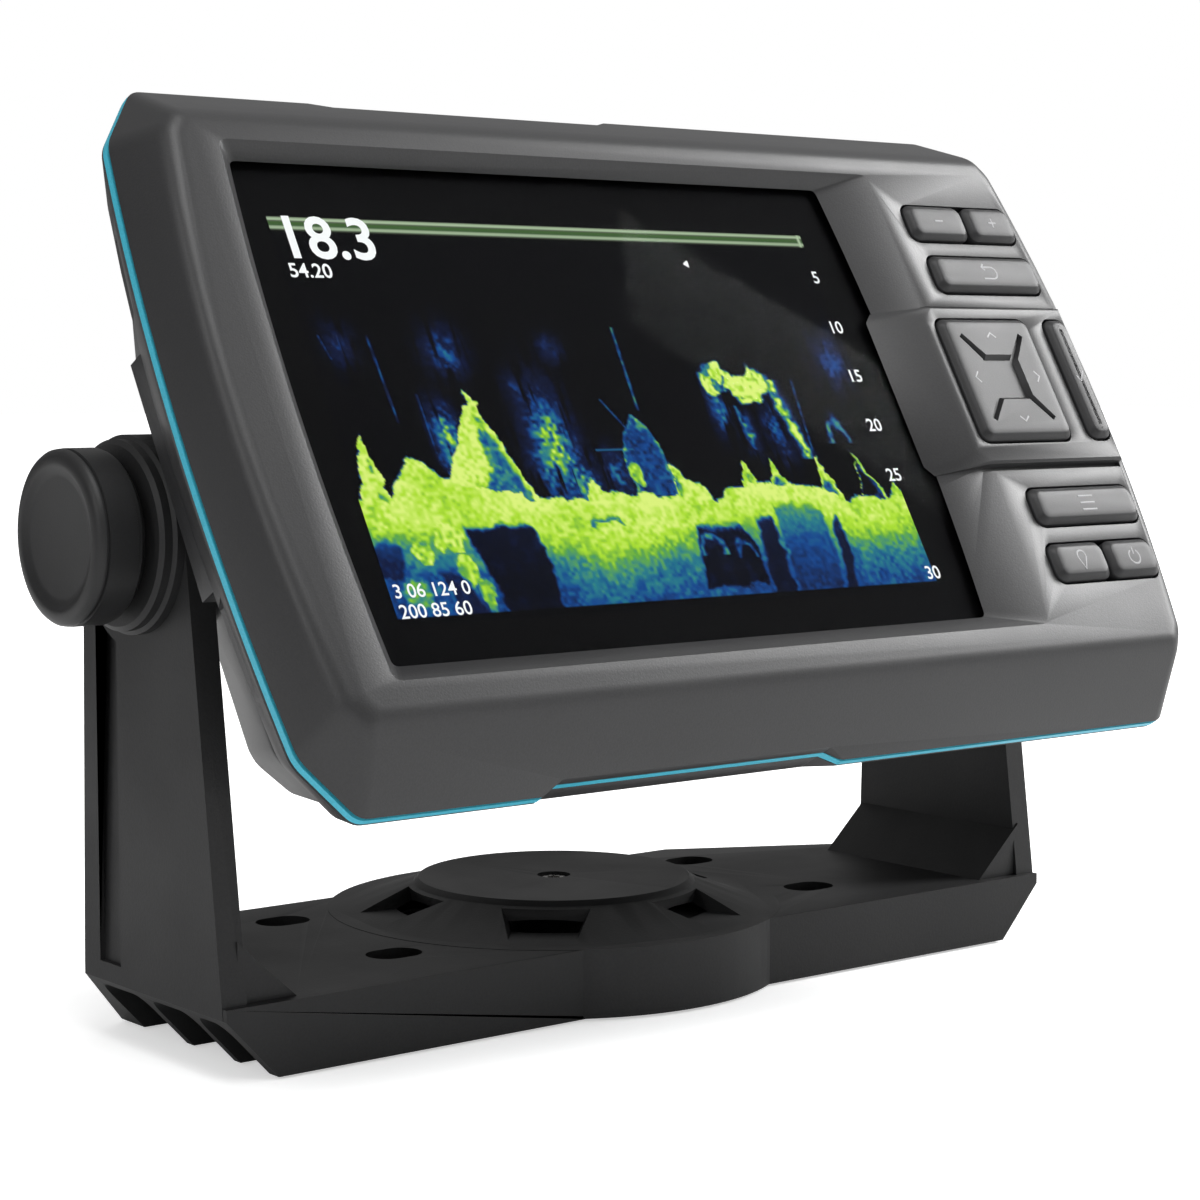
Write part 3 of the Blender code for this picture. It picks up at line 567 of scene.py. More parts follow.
def pockets():
    """Openings for the keys. Two keys side by side share one."""
    shared = {name for pair in PAIRS for name in pair}
    spans = [(KEYS[a][0], KEYS[b][1]) for a, b in PAIRS]
    spans += [KEYS[name] for name in KEYS if name not in shared]
    found = []
    for low, high in spans:
        edge = rounded(low.x - KEY_GAP, high.x + KEY_GAP, low.z - KEY_GAP, high.z + KEY_GAP,
                       KEY_R + KEY_GAP)
        found.append(prism(edge, FACE_Y - 4, FACE_Y + 6, "Y"))
    return found


def make_bezel():
    shell = loft(bezel_rings())
    cavity = loft([
        case_ring(SPLIT_Y + 2, HALF_W - WALL, HALF_H - WALL, 2.5, 6.0, 8.8),
        case_ring(SPLIT_Y - 1.05, HALF_W - WALL, HALF_H - WALL, 2.5, 6.0, 8.8),
        case_ring(GLASS_Y - 0.3, FACE_HALF_W - WALL, FACE_HALF_H - WALL, 4.0, 2.0, 2.8)])
    window = loft([
        window_ring(GLASS_Y + 2, 0, 0, 0, 0), window_ring(GLASS_Y - 0.3, 0, 0, 0, 0),
        window_ring(FACE_Y, 2.4, 10.4, 3.0, 1.9, 1.6),
        window_ring(FACE_Y - 0.5, 2.8, 12.2, 3.5, 2.2, 1.6),
        window_ring(FACE_Y - 3, 2.8, 12.2, 3.5, 2.2, 1.6)])
    front = FACE_Y - BLOCK_LIFT
    block = loft([block_ring(GLASS_Y - 0.3, BLOCK_FOOT, 0.25, 1.6),
                  block_ring(front + 0.3, BLOCK_EDGE - 0.2, 0.0, 2.2),
                  block_ring(front, BLOCK_EDGE + 0.4, -0.45, 2.2)])
    groove = box((BLOCK_EDGE + 0.9, front - 1, BLOCK_LOW - 1.0),
                 (BLOCK_RIGHT - 0.4, FACE_Y + 0.8, BLOCK_LOW - 0.1))
    crease = box((BLOCK_EDGE + 0.9, front - 1, BLOCK_HIGH + 0.05),
                 (BLOCK_RIGHT - 0.4, FACE_Y + 0.3, BLOCK_HIGH + 0.4))
    shell = cut(shell, cavity, window)
    shell = join(shell, block)
    shell = cut(shell, groove, crease, *pockets(), grip_cut(1), grip_cut(-1))
    piece("bezel_shell", tidy(shell), HEAD, "display", "case_plastic",
          ["front_bezel"], bevel=0.28)


def make_band():
    outer = outline(HALF_W + 0.05, HALF_H + 0.05, 2.5, 6.2, 9.0)
    inner = outline(HALF_W - 2.4, HALF_H - 2.4, 2.5, 6.0, 8.8)
    rings = []
    for shape, depth in ((inner, 0.7), (inner, -0.7), (outer, -0.55), (outer, 0.55)):
        rings.append([(p.x, SPLIT_Y + depth, p.y) for p in shape])
    band = loft(rings, closed_loop=True)
    band = cut(band, grip_cut(1), grip_cut(-1))
    piece("teal_band", band, HEAD, "display", "accent_teal", ["accent_band"], smooth=40)


# ---------------------------------------------------------------- keys


def key_mesh(low, high):
    """A moulded key: straight skirt, sloped sides and a slightly crowned top with a soft edge."""
    front, rear = low.y, high.y
    steps = ((rear, 0.0), (front + 0.98, 0.0), (front + 0.82, 0.06), (front + 0.24, 0.66),
             (front + 0.09, 0.84),
             (front + 0.02, 1.08), (front - KEY_CROWN * 0.5, 1.7), (front - KEY_CROWN, 2.2))
    rings = []
    for y, inset in steps:
        radius = max(KEY_R - inset * 0.45, 0.35)
        edge = rounded(low.x + inset, high.x - inset, low.z + inset, high.z - inset, radius)
        rings.append([(x, y, z) for x, z in edge])
    return loft(rings)


def dpad_mesh(low, high):
    """The arrow pad: four raised pads round a sunk middle, parted by slanted grooves."""
    mesh = key_mesh(low, high)
    front = low.y
    mid_x, mid_z = middle(low, high)
    half = 3.7
    well = loft([[(mid_x + sx * s, y, mid_z + sz * s) for sx, sz in ((1, 1), (-1, 1), (-1, -1), (1, -1))]
                 for s, y in ((half - 0.25, front + 0.75), (half + 0.75, front - 0.4))])
    cutters = [well]
    reach_x, reach_z = (high.x - low.x) / 2 - 3.7, (high.z - low.z) / 2 - 3.7
    for sx in (-1, 1):
        for sz in (-1, 1):
            start = Vector((mid_x + sx * (half - 0.9), mid_z + sz * (half - 0.9)))
            end = Vector((mid_x + sx * reach_x, mid_z + sz * reach_z))
            along = (end - start).normalized()
            rings = []
            for half_w, y in ((0.28, front + 0.75), (0.95, front - 0.4)):
                across = along.orthogonal() * half_w
                tip = end + along * half_w * 0.5
                ring = [start + across, tip + across * 0.7, tip - across * 0.7, start - across]
                rings.append([(p.x, y, p.y) for p in ring])
            cutters.append(loft(rings))
    return tidy(cut(mesh, *cutters), 0.5)


def arc_points(cx, cz, radius, start, end, steps=10):
    angles = [math.radians(start + (end - start) * i / steps) for i in range(steps + 1)]
    return [(cx + radius * math.cos(angle), cz + radius * math.sin(angle)) for angle in angles]


def symbol_strokes(name, half_w, half_h):
    """Open strokes of each key's printed mark, about the key's centre."""
    if name == "key_zoom_out":
        return [[(-0.9, 0), (0.9, 0)]]
    if name == "key_zoom_in":
        return [[(-0.9, 0), (0.9, 0)], [(0, -0.9), (0, 0.9)]]
    if name == "key_back":
        return [[(-1.6, -1.2), (0.7, -1.2)] + arc_points(0.7, -0.1, 1.1, -90, 90) + [(-1.3, 1.0)],
                [(-0.7, 1.6), (-1.4, 1.0), (-0.7, 0.4)]]
    if name == "key_select":
        return [[(-0.9, 0.1), (-0.2, -0.9), (1.0, 1.1)]]
    if name == "key_menu":
        return [[(-1.7, h), (1.7, h)] for h in (-1.2, 0, 1.2)]
    if name == "key_mark":
        return [arc_points(0, 0.6, 0.95, -35, 215) + [(0, -1.7), arc_points(0, 0.6, 0.95, -35, 215)[0]]]
    if name == "key_power":
        return [arc_points(0, -0.1, 1.25, 120, 420, 16), [(0, 0.3), (0, 1.6)]]
    strokes = []
    for angle in (0, 90, 180, 270):
        turn = math.radians(angle)
        reach = half_w - 3.0 if angle % 180 == 0 else half_h - 3.0
        tip = []
        for x, z in ((reach - 0.9, 1.0), (reach, 0), (reach - 0.9, -1.0)):
            tip.append((x * math.cos(turn) - z * math.sin(turn),
                        x * math.sin(turn) + z * math.cos(turn)))
        strokes.append(tip)
    return strokes


def stroke_mesh(strokes, width, thickness, y, centre):
    """Flat-topped round strokes lying on the plane at y."""
    curve = bpy.data.curves.new("strokes", "CURVE")
    curve.dimensions = "3D"
    curve.bevel_depth = width / 2
    curve.bevel_resolution = 2
    curve.use_fill_caps = True
    for stroke in strokes:
        spline = curve.splines.new("POLY")
        spline.points.add(len(stroke) - 1)
        for point, (x, z) in zip(spline.points, stroke):
            point.co = (x, 0, z, 1)
    guide = solid(curve)
    mesh = evaluated_mesh(guide)
    bpy.data.objects.remove(guide)
    squeeze = Matrix.Diagonal((1, thickness / (width / 2), 1, 1))
    mesh.transform(Matrix.Translation((centre[0], y, centre[1])) @ squeeze)
    return mesh


def make_keys():
    for name, (low, high) in KEYS.items():
        body = name.replace("key_", "") + "_key"
        mesh = dpad_mesh(low, high) if name == "key_dpad" else key_mesh(low, high)
        piece(name.replace("key_", "button_"), mesh, HEAD, body, "key_rubber", [name], smooth=38)
        centre = middle(low, high)
        strokes = symbol_strokes(name, (high.x - low.x) / 2, (high.z - low.z) / 2)
        marks = stroke_mesh(strokes, 0.36, 0.06, low.y - 0.03, centre)
        piece(name.replace("key_", "mark_on_"), marks, HEAD, body, "key_rubber", look=PRINT)


# ---------------------------------------------------------------- glass and picture

LCD_LEFT, LCD_RIGHT = WIN_LEFT + 5.6, WIN_RIGHT - 8.0
LCD_LOW, LCD_HIGH = WIN_LOW + 6.1, WIN_HIGH - 8.1
LCD_W, LCD_H = LCD_RIGHT - LCD_LEFT, LCD_HIGH - LCD_LOW
PICTURE_Y = GLASS_Y + 0.78
FIGURE_LIFT = 0.06  # how far the numerals stand in front of the picture
COLUMNS, ROWS = 430, 270


def value_noise(rng, cells_x, cells_y):
    """Smooth noise over the picture, 0 to 1."""
    grid = rng.random((cells_y + 2, cells_x + 2))
    x = np.linspace(0, cells_x, COLUMNS + 1)
    y = np.linspace(0, cells_y, ROWS + 1)
    xi, yi = x.astype(int), y.astype(int)
    fx, fy = x - xi, y - yi
    fx, fy = fx * fx * (3 - 2 * fx), fy * fy * (3 - 2 * fy)
    top = grid[yi][:, xi] * (1 - fx) + grid[yi][:, xi + 1] * fx
    low = grid[yi + 1][:, xi] * (1 - fx) + grid[yi + 1][:, xi + 1] * fx
    return top * (1 - fy)[:, None] + low * fy[:, None]


def fractal(rng, cells_x, cells_y, octaves):
    total = np.zeros((ROWS + 1, COLUMNS + 1))
    weight = 1.0
    for octave in range(octaves):
        total += weight * value_noise(rng, cells_x * 2 ** octave, cells_y * 2 ** octave)
        weight *= 0.6
    return total / sum(0.6 ** octave for octave in range(octaves))


def step(edge, width, x):
    """0 below edge and 1 above edge + width, smooth between."""
    t = np.clip((x - edge) / width, 0, 1)
    return t * t * (3 - 2 * t)


COLOUR_STOPS = (0.0, 0.16, 0.34, 0.50, 0.66, 0.82, 1.0)
COLOURS = ((0.0005, 0.0005, 0.001), (0.004, 0.010, 0.05), (0.004, 0.060, 0.26), (0.02, 0.20, 0.24),
           (0.12, 0.40, 0.05), (0.42, 0.74, 0.03), (0.72, 0.90, 0.20))

# Places run from 0 at the picture's left to 1 at its right, and depths from 0 at its top to 1 at its bottom.
# The top of the seabed, then the line where its colours begin to fade
BED = ((0.0, 0.70), (0.05, 0.71), (0.075, 0.65), (0.10, 0.60), (0.15, 0.655), (0.30, 0.72),
       (0.40, 0.715),
       (0.50, 0.71), (0.57, 0.74), (0.63, 0.735), (0.66, 0.70), (0.80, 0.70), (0.87, 0.745), (1.0, 0.75))
FADE = ((0.0, 0.73), (0.15, 0.74), (0.29, 0.77), (0.38, 0.81), (0.44, 0.795), (0.55, 0.77), (0.66, 0.74),
        (0.80, 0.75), (0.87, 0.78), (1.0, 0.785))

# Pointed echoes on the seabed: place and depth of the tip, reach to left and right, strength, hollow or not
PEAKS = ((0.036, 0.54, 0.036, 0.018, 0.92, 0), (0.236, 0.44, 0.085, 0.066, 0.95, 0),
         (0.555, 0.63, 0.008, 0.075, 0.90, 0),
         (0.850, 0.63, 0.012, 0.028, 0.88, 0), (0.928, 0.62, 0.012, 0.042, 0.85, 1),
         (0.696, 0.635, 0.016, 0.020, 0.88, 0),
         (0.753, 0.625, 0.016, 0.022, 0.84, 0), (0.401, 0.665, 0.022, 0.024, 0.88, 0),
         (0.990, 0.70, 0.018, 0.03, 0.8, 0),
         (0.105, 0.60, 0.020, 0.030, 0.92, 0))

# Soft echoes: centre, half sizes and strength
CLOUDS = ((0.358, 0.59, 0.036, 0.12, 0.66), (0.335, 0.64, 0.022, 0.08, 0.42),
          (0.385, 0.68, 0.03, 0.06, 0.5),
          (0.178, 0.55, 0.020, 0.06, 0.66), (0.170, 0.62, 0.012, 0.06, 0.5),
          (0.222, 0.34, 0.028, 0.05, 0.34),
          (0.960, 0.37, 0.030, 0.07, 0.26), (0.455, 0.66, 0.02, 0.05, 0.34),
          (0.790, 0.56, 0.020, 0.07, 0.30),
          (0.690, 0.50, 0.018, 0.06, 0.42), (0.735, 0.56, 0.012, 0.05, 0.42),
          (0.05, 0.33, 0.02, 0.05, 0.18),
          (0.325, 0.44, 0.02, 0.04, 0.20), (0.410, 0.33, 0.02, 0.03, 0.16))

# Bright patches in the seabed, in the same way
PATCHES = ((0.125, 0.80, 0.032, 0.045, 0.90), (0.075, 0.835, 0.022, 0.035, 0.86),
           (0.022, 0.74, 0.03, 0.05, 0.92),
           (0.140, 0.88, 0.018, 0.05, 0.80), (0.158, 0.94, 0.012, 0.05, 0.72),
           (0.045, 0.93, 0.03, 0.035, 0.62),
           (0.490, 0.665, 0.014, 0.035, 0.80))

# Dark shapes in the seabed: top and bottom, left edge there, right edge there, and how dark
SHADOWS = ((0.765, 1.02, 0.148, 0.186, 0.292, 0.280, 0.95),
           (0.795, 0.90, -0.05, -0.05, 0.052, 0.035, 0.62),
           (0.865, 1.00, 0.085, 0.105, 0.128, 0.150, 0.60),
           (0.795, 0.965, 0.556, 0.540, 0.672, 0.668, 0.96),
           (0.775, 1.02, 0.684, 0.660, 0.722, 0.712, 0.88),
           (0.785, 1.02, 0.832, 0.810, 0.856, 0.838, 0.86),
           (0.745, 1.02, 0.722, 0.712, 0.832, 0.810, 0.38),
           (0.760, 0.788, 0.372, 0.372, 0.436, 0.436, 0.72))

# Thin traces: place and depth of both ends, half width and strength
TRACES = ((0.812, 0.42, 0.836, 0.64, 0.010, 0.80), (0.800, 0.40, 0.815, 0.52, 0.008, 0.6),
          (0.728, 0.49, 0.735, 0.61, 0.005, 0.5),
          (0.540, 0.275, 0.534, 0.50, 0.0020, 0.42), (0.100, 0.30, 0.105, 0.52, 0.0016, 0.28),
          (0.859, 0.42, 0.848, 0.62, 0.0016, 0.34), (0.470, 0.47, 0.505, 0.56, 0.0016, 0.34),
          (0.150, 0.45, 0.152, 0.60, 0.0014, 0.26), (0.02, 0.30, 0.03, 0.36, 0.0014, 0.22))


def picture_noise():
    """Noises of several sizes, from coarse to fine, and one of upright streaks."""
    rng = np.random.default_rng(7)
    return (fractal(rng, 14, 9, 5), fractal(rng, 52, 34, 3), fractal(rng, 170, 105, 1),
            fractal(rng, 120, 9, 2),
            fractal(rng, 60, 40, 3))


def along(points, x):
    places, depths = zip(*points)
    return np.interp(x[0], places, depths)[None, :]


def picture_strength():
    """How strong the echo is at each point of the picture, 0 to 1."""
    rough, ragged, speckle, streaks, other = picture_noise()
    x = np.linspace(0, 1, COLUMNS + 1)[None, :]
    d = np.linspace(0, 1, ROWS + 1)[:, None]
    wx = x + 0.016 * (ragged - 0.5)
    wd = d + 0.036 * (other - 0.5)
    bed, fade = along(BED, x), along(FADE, x)
    depth = d + 0.03 * (rough - 0.5) - fade
    falls = np.interp(depth, (-0.05, 0.03, 0.07, 0.11, 0.16, 0.22), (0.93, 0.86, 0.68, 0.50, 0.38, 0.30))
    above = step(-0.01, 0.03, fade - d)
    tone = falls + (0.26 + 0.20 * above) * (rough - 0.5) + 0.22 * (speckle - 0.5) + 0.12 * (other - 0.5)
    strength = tone * step(-0.004, 0.01, wd - bed)
    for cx, cd, rx, rd, power in PATCHES:
        blob = np.exp(-(((wx - cx) / rx) ** 2 + ((wd - cd) / rd) ** 2))
        strength = np.maximum(strength, power * step(0.25, 0.35, blob) * (0.72 + 0.5 * speckle))
    for top, bottom, left0, left1, right0, right1, dark in SHADOWS:
        t = np.clip((d - top) / (bottom - top), 0, 1)
        left = left0 + (left1 - left0) * t
        right = right0 + (right1 - right0) * t - 0.25 * (right0 - left0) * (1 - t) ** 6
        inside = step(0, 0.008, wx - left) * step(0, 0.008, right - wx)
        inside = inside * step(0, 0.03, wd - top) * step(0, 0.01, bottom - wd)
        strength = strength * (1 - dark * inside * (0.80 + 0.4 * (1 - ragged)).clip(0, 1))
    for place, top, left, right, power, hollow in PEAKS:
        share = np.where(wx < place, (place - wx) / left, (wx - place) / right)
        crest = top + (bed + 0.01 - top) * np.clip(share, 0, 1)
        deep = (wd - crest) / 0.20
        body = step(0.0, 0.008, wd - crest) * (share < 1) * (1 - step(0.0, 0.02, d - bed - 0.01))
        inner = 0.50 * step(0.50, 0.16, rough + 0.20 * np.clip(deep, 0, 1)) * step(0.05, 0.3, deep)
        inner = inner * (share < 0.8) + 0.62 * hollow * step(0.06, 0.06, deep)
        strength = np.maximum(strength, body * (power - inner + 0.30 * (speckle - 0.5)))
    for cx, cd, rx, rd, power in CLOUDS:
        blob = np.exp(-(((wx - cx) / rx) ** 2 + ((wd - cd) / rd) ** 2))
        grain = (0.35 + 1.3 * speckle) * step(0.36, 0.22, streaks + 0.30 * blob)
        strength = np.maximum(strength, power * blob * grain)
    return add_lines(strength, x, d, wx, wd, ragged, speckle)


def add_lines(strength, x, d, wx, wd, ragged, speckle):
    """The hooked echo in mid water, the dome and curl, and the thin traces."""
    away = ((wx - 0.740) / 0.070) ** 2 + ((wd - 0.425) / 0.062) ** 2
    notch = ((wx - 0.748) / 0.028) ** 2 + ((wd - 0.372) / 0.036) ** 2
    under = ((wx - 0.715) / 0.030) ** 2 + ((wd - 0.49) / 0.050) ** 2
    hook = (1 - step(0.75, 0.3, away)) * step(0.7, 0.5, notch) * step(0.5, 0.5, under)
    strength = np.maximum(strength, hook * (0.98 + 0.5 * (speckle - 0.5) - 0.5 * step(0.60, 0.1,
                                                                                      ragged)))
    dome = ((wx - 0.515) / 0.040) ** 2 + ((wd - 0.66) / 0.140) ** 2
    shell = (0.27 + 0.26 * step(0.62, 0.3, dome)) * (0.5 + speckle)
    shell = shell * (1 - step(0.9, 0.15, dome)) * (d < 0.72)
    strength = np.maximum(strength, shell)
    for cx, cd, rx, rd, power in ((0.580, 0.88, 0.022, 0.050, 0.42), (0.640, 0.89, 0.016, 0.045, 0.34),
                                  (0.914, 0.60, 0.017, 0.060, 0.48)):
        ring = np.sqrt(((wx - cx) / rx) ** 2 + ((wd - cd) / rd) ** 2)
        curl = power * np.exp(-((ring - 1) / 0.22) ** 2) * (d < cd) * (0.4 + 1.2 * speckle)
        strength = np.maximum(strength, curl)
    for x0, d0, x1, d1, width, power in TRACES:
        share = np.clip((d - d0) / (d1 - d0), 0, 1)
        away = np.abs((wx if width > 0.003 else x) - (x0 + (x1 - x0) * share)) / width
        here = (d > d0) & (d < d1)
        strength = np.maximum(strength, np.exp(-away ** 2) * here * power * (0.4 + 1.2 * speckle))
    brace = np.exp(-((d - 0.60) / 0.003) ** 2) * ((x > 0.43) & (x < 0.50)) * 0.40
    return np.clip(np.maximum(strength, brace), 0, 1) * (d < 0.985)


def picture_colours():
    strength = picture_strength()
    stops = np.array(COLOURS)
    colours = np.stack([np.interp(strength, COLOUR_STOPS, stops[:, i]) for i in range(3)], axis=-1)
    x = np.linspace(0, 1, COLUMNS + 1)[None, :]
    d = np.linspace(0, 1, ROWS + 1)[:, None]
    line = np.exp(-((d - 0.006) / 0.004) ** 2) + 0.9 * np.exp(-((d - 0.028) / 0.004) ** 2)
    line = np.maximum(line, np.exp(-((x - 0.993) / 0.003) ** 2) * (d < 0.034))
    between = (d > 0.006) & (d < 0.028)
    colours = np.maximum(colours, line[..., None] * np.array((0.46, 0.60, 0.38)))
    colours = np.maximum(colours, between[..., None] * np.array((0.05, 0.11, 0.03)))
    return colours


def make_picture():
    """A fine grid whose points carry the picture's colours."""
    xs = np.linspace(LCD_LEFT, LCD_RIGHT, COLUMNS + 1)
    zs = np.linspace(LCD_HIGH, LCD_LOW, ROWS + 1)
    points = [(x, PICTURE_Y, z) for z in zs for x in xs]
    wide = COLUMNS + 1
    faces = [(r * wide + c, (r + 1) * wide + c, (r + 1) * wide + c + 1, r * wide + c + 1)
             for r in range(ROWS) for c in range(COLUMNS)]
    mesh = bpy.data.meshes.new("picture")
    mesh.from_pydata(points, [], faces)
    colours = np.ones((len(points), 4), np.float32)
    colours[:, :3] = picture_colours().reshape(-1, 3)
    layer = mesh.color_attributes.new("picture", "FLOAT_COLOR", "POINT")
    layer.data.foreach_set("color", colours.ravel())
    piece("lcd_picture", mesh, HEAD, "display", "lcd_screen")


def figures(text, size, x, z, align="LEFT", bold=0.0):
    """Numerals in Blender's own plain font, just in front of the picture."""
    curve = bpy.data.curves.new("figures", "FONT")
    curve.body = text
    curve.size = size
    curve.align_x = align
    curve.offset = bold
    curve.resolution_u = 4
    guide = solid(curve)
    mesh = evaluated_mesh(guide)
    bpy.data.objects.remove(guide)
    mesh.transform(Matrix.Translation((x, PICTURE_Y - FIGURE_LIFT, z)) @ Matrix.Rotation(math.pi / 2, 4,
                                                                                         "X"))
    return mesh


def merged(meshes):
    bm = bmesh.new()
    for mesh in meshes:
        bm.from_mesh(mesh)
    made = bpy.data.meshes.new("merged")
    bm.to_mesh(made)
    bm.free()
    return made


def make_figures():
    left, top = LCD_LEFT + 0.6, LCD_HIGH
    meshes = [figures("18.3", 9.6, left, top - 6.6, bold=0.16)]
    meshes.append(figures("54.20", 3.2, left + 0.2, top - 9.8, bold=0.05))
    for number, depth in ((5, 0.124), (10, 0.27), (15, 0.41), (20, 0.55), (25, 0.69), (30, 0.96)):
        meshes.append(figures(str(number), 3.1, LCD_RIGHT - 0.2, top - depth * LCD_H - 1.1, "CENTER",
                              0.04))
    meshes.append(figures("3 06 124 0", 2.9, left, LCD_LOW + 4.0, bold=0.03))
    meshes.append(figures("200 85 60", 2.9, left, LCD_LOW + 1.0, bold=0.03))
    x, z = LCD_LEFT + 0.735 * LCD_W, top - 0.095 * LCD_H
    front = PICTURE_Y - FIGURE_LIFT
    flat = [(x - 0.7, front, z), (x + 0.4, front, z + 0.7), (x + 0.4, front, z - 0.7)]
    marker = bpy.data.meshes.new("marker")
    marker.from_pydata(flat, [], [(0, 1, 2)])
    meshes.append(marker)
    piece("lcd_figures", merged(meshes), HEAD, "display", "lcd_screen", smooth=20, look=GLOW)


def make_glass():
    low, high = LENS_LOW, LENS_HIGH
    rings = []
    for inset, y in ((0.25, low.y), (0.0, low.y + 0.2), (0.0, low.y + 0.5), (0.2, low.y + 0.62)):
        edge = rounded(low.x + inset, high.x - inset, low.z + inset, high.z - inset, 2.0)
        rings.append([(x, y, z) for x, z in edge])
    piece("glass_pane", loft(rings), HEAD, "display", "cover_glass", ["display_lens"])
    back = rounded(low.x, high.x, low.z, high.z, 2.0)
    mask = prism(back, PICTURE_Y + 0.04, low.y + 1.2, "Y")
    piece("glass_mask", mask, HEAD, "display", "cover_glass", smooth=30, look=MASK)


# ---------------------------------------------------------------- rear housing

SOCKET = middle(*span("connector_shell", HEAD))
VENT = middle(*span("vent_plug", HEAD))


SCREWS = [middle(*span(f"housing_screw_{index + 1}", HEAD)) for index in range(6)]


# Outlines of the back case from the seam to the rear face: depth, then the shape
HOUSING_OUTSIDE = ((SPLIT_Y + 7.6, (83.65, 52.15, 2.5, 6.0, 9.0)),
                   (SPLIT_Y + 8.3, (83.2, 51.8, 2.5, 6.0, 9.0)),
                   (SPLIT_Y + 8.7, (82.4, 51.6, 2.5, 6.0, 9.0)),
                   (SPLIT_Y + 9.4, (75.2, 50.7, 0.6, 5.0, 8.0)),
                   (SPLIT_Y + 10.2, (74.3, 50.3, 0.6, 5.0, 8.0)),
                   (SPLIT_Y + 19.2, (74.1, 46.6, 0.6, 6.0, 8.0)),
                   (SPLIT_Y + 20.6, (73.8, 45.5, 0.6, 6.0, 8.0)),
                   (BACK_Y - 2.6, (66.4, 37.6, 0.5, 5.0, 6.0)),
                   (BACK_Y - 1.1, (65.6, 36.4, 0.5, 5.0, 6.0)),
                   (BACK_Y - 0.3, (64.9, 35.5, 0.5, 4.8, 5.8)),
                   (BACK_Y, (64.0, 34.6, 0.5, 4.6, 5.6)))
HOUSING_INSIDE = ((SPLIT_Y + 6.6, (80.9, 49.2, 2.5, 5.6, 8.6)),
                  (SPLIT_Y + 8.0, (71.9, 47.6, 0.6, 5.0, 8.0)),
                  (SPLIT_Y + 19, (71.7, 43.4, 0.6, 6.0, 8.0)),
                  (BACK_Y - 2.5, (63.2, 33.6, 0.5, 5.0, 6.0)))
HUB_R, HUB_X = 13.0, 74.4

# The lug on the rim beside the pivot, and the notches in the rim above and below it
LUG_ROOT_X, LUG_X, LUG_Y, LUG_Z = 75, 83.2, SPLIT_Y + 10.8, 18.2
NOTCH_X, NOTCH_Y = 82.4, SPLIT_Y + 4.1
RIM_NOTCHES = ((22.6, 35.2), (-34.2, -20.6))


def rings_at(outlines):
    return [case_ring(y, *shape) for y, shape in outlines]


def make_housing():
    y0 = SPLIT_Y + SEAM
    lip = (HALF_W - 0.35, HALF_H - 0.35, 2.5, 6.2, 9.0)
    shell = loft([case_ring(y0, *lip), case_ring(y0 + 0.35, *SPLIT_SHAPE), *rings_at(HOUSING_OUTSIDE)])
    inner_lip = (HALF_W - 2.6, HALF_H - 2.6, 2.5, 6.0, 8.8)
    cavity = loft([case_ring(SPLIT_Y - 1, *inner_lip), *rings_at(HOUSING_INSIDE)])
    shell = cut(shell, cavity)
    lugs = []
    for side in (-1, 1):
        x0, x1 = sides_of(side, LUG_ROOT_X, LUG_X)
        lugs.append(box((x0, SPLIT_Y + 7.2, -LUG_Z), (x1, LUG_Y, LUG_Z)))
    hubs = [cylinder(HUB_R, *sides_of(side, 62, HUB_X), (0, 0), "X", 96) for side in (-1, 1)]
    shell = join(shell, *lugs, *hubs)
    cutters = [cylinder(5.2, *sides_of(side, 60.5, 76), (0, 0), "X", 48) for side in (-1, 1)]
    cutters.append(cylinder(9.4, BACK_Y - 6, BACK_Y + 2, SOCKET, "Y"))
    cutters.append(cylinder(3.4, BACK_Y - 6, BACK_Y + 2, VENT, "Y", 40))
    for spot in SCREWS:
        cutters.append(cylinder(1.8, BACK_Y - 6, BACK_Y + 2, spot, "Y", 32))
        cutters.append(cylinder(3.1, BACK_Y - 0.9, BACK_Y + 2, spot, "Y", 40))
    for side in (-1, 1):
        x0, x1 = sides_of(side, NOTCH_X, 90)
        for low, high in RIM_NOTCHES:
            cutters.append(box((x0, NOTCH_Y, low), (x1, NOTCH_Y + 10, high)))
    cutters += rear_details()
    shell = cut(shell, *cutters, grip_cut(1), grip_cut(-1))
    piece("case_back", tidy(shell), HEAD, "display", "case_plastic", ["rear_housing"],
          bevel=0.28)


def rear_details():
    """A shallow blank label recess and a row of short cooling grooves on the back."""
    label = rounded(-20, 8, 4, 22, 1.5)
    cutters = [prism(label, BACK_Y - 0.35, BACK_Y + 1, "Y")]
    for index in range(7):
        x = 26.5 + index * 3.4
        cutters.append(prism(rounded(x - 0.7, x + 0.7, 4, 20, 0.69), BACK_Y - 0.8, BACK_Y + 1, "Y"))
        cutters.append(prism(rounded(-x - 0.7, -x + 0.7, 4, 20, 0.69), BACK_Y - 0.8, BACK_Y + 1, "Y"))
    return cutters


def turn_back(spot):
    """Places a shape turned about Z on the back, its top pointing away from the screen."""
    return HEAD @ Matrix.Translation((spot[0], BACK_Y, spot[1])) @ Matrix.Rotation(-math.pi / 2, 4, "X")


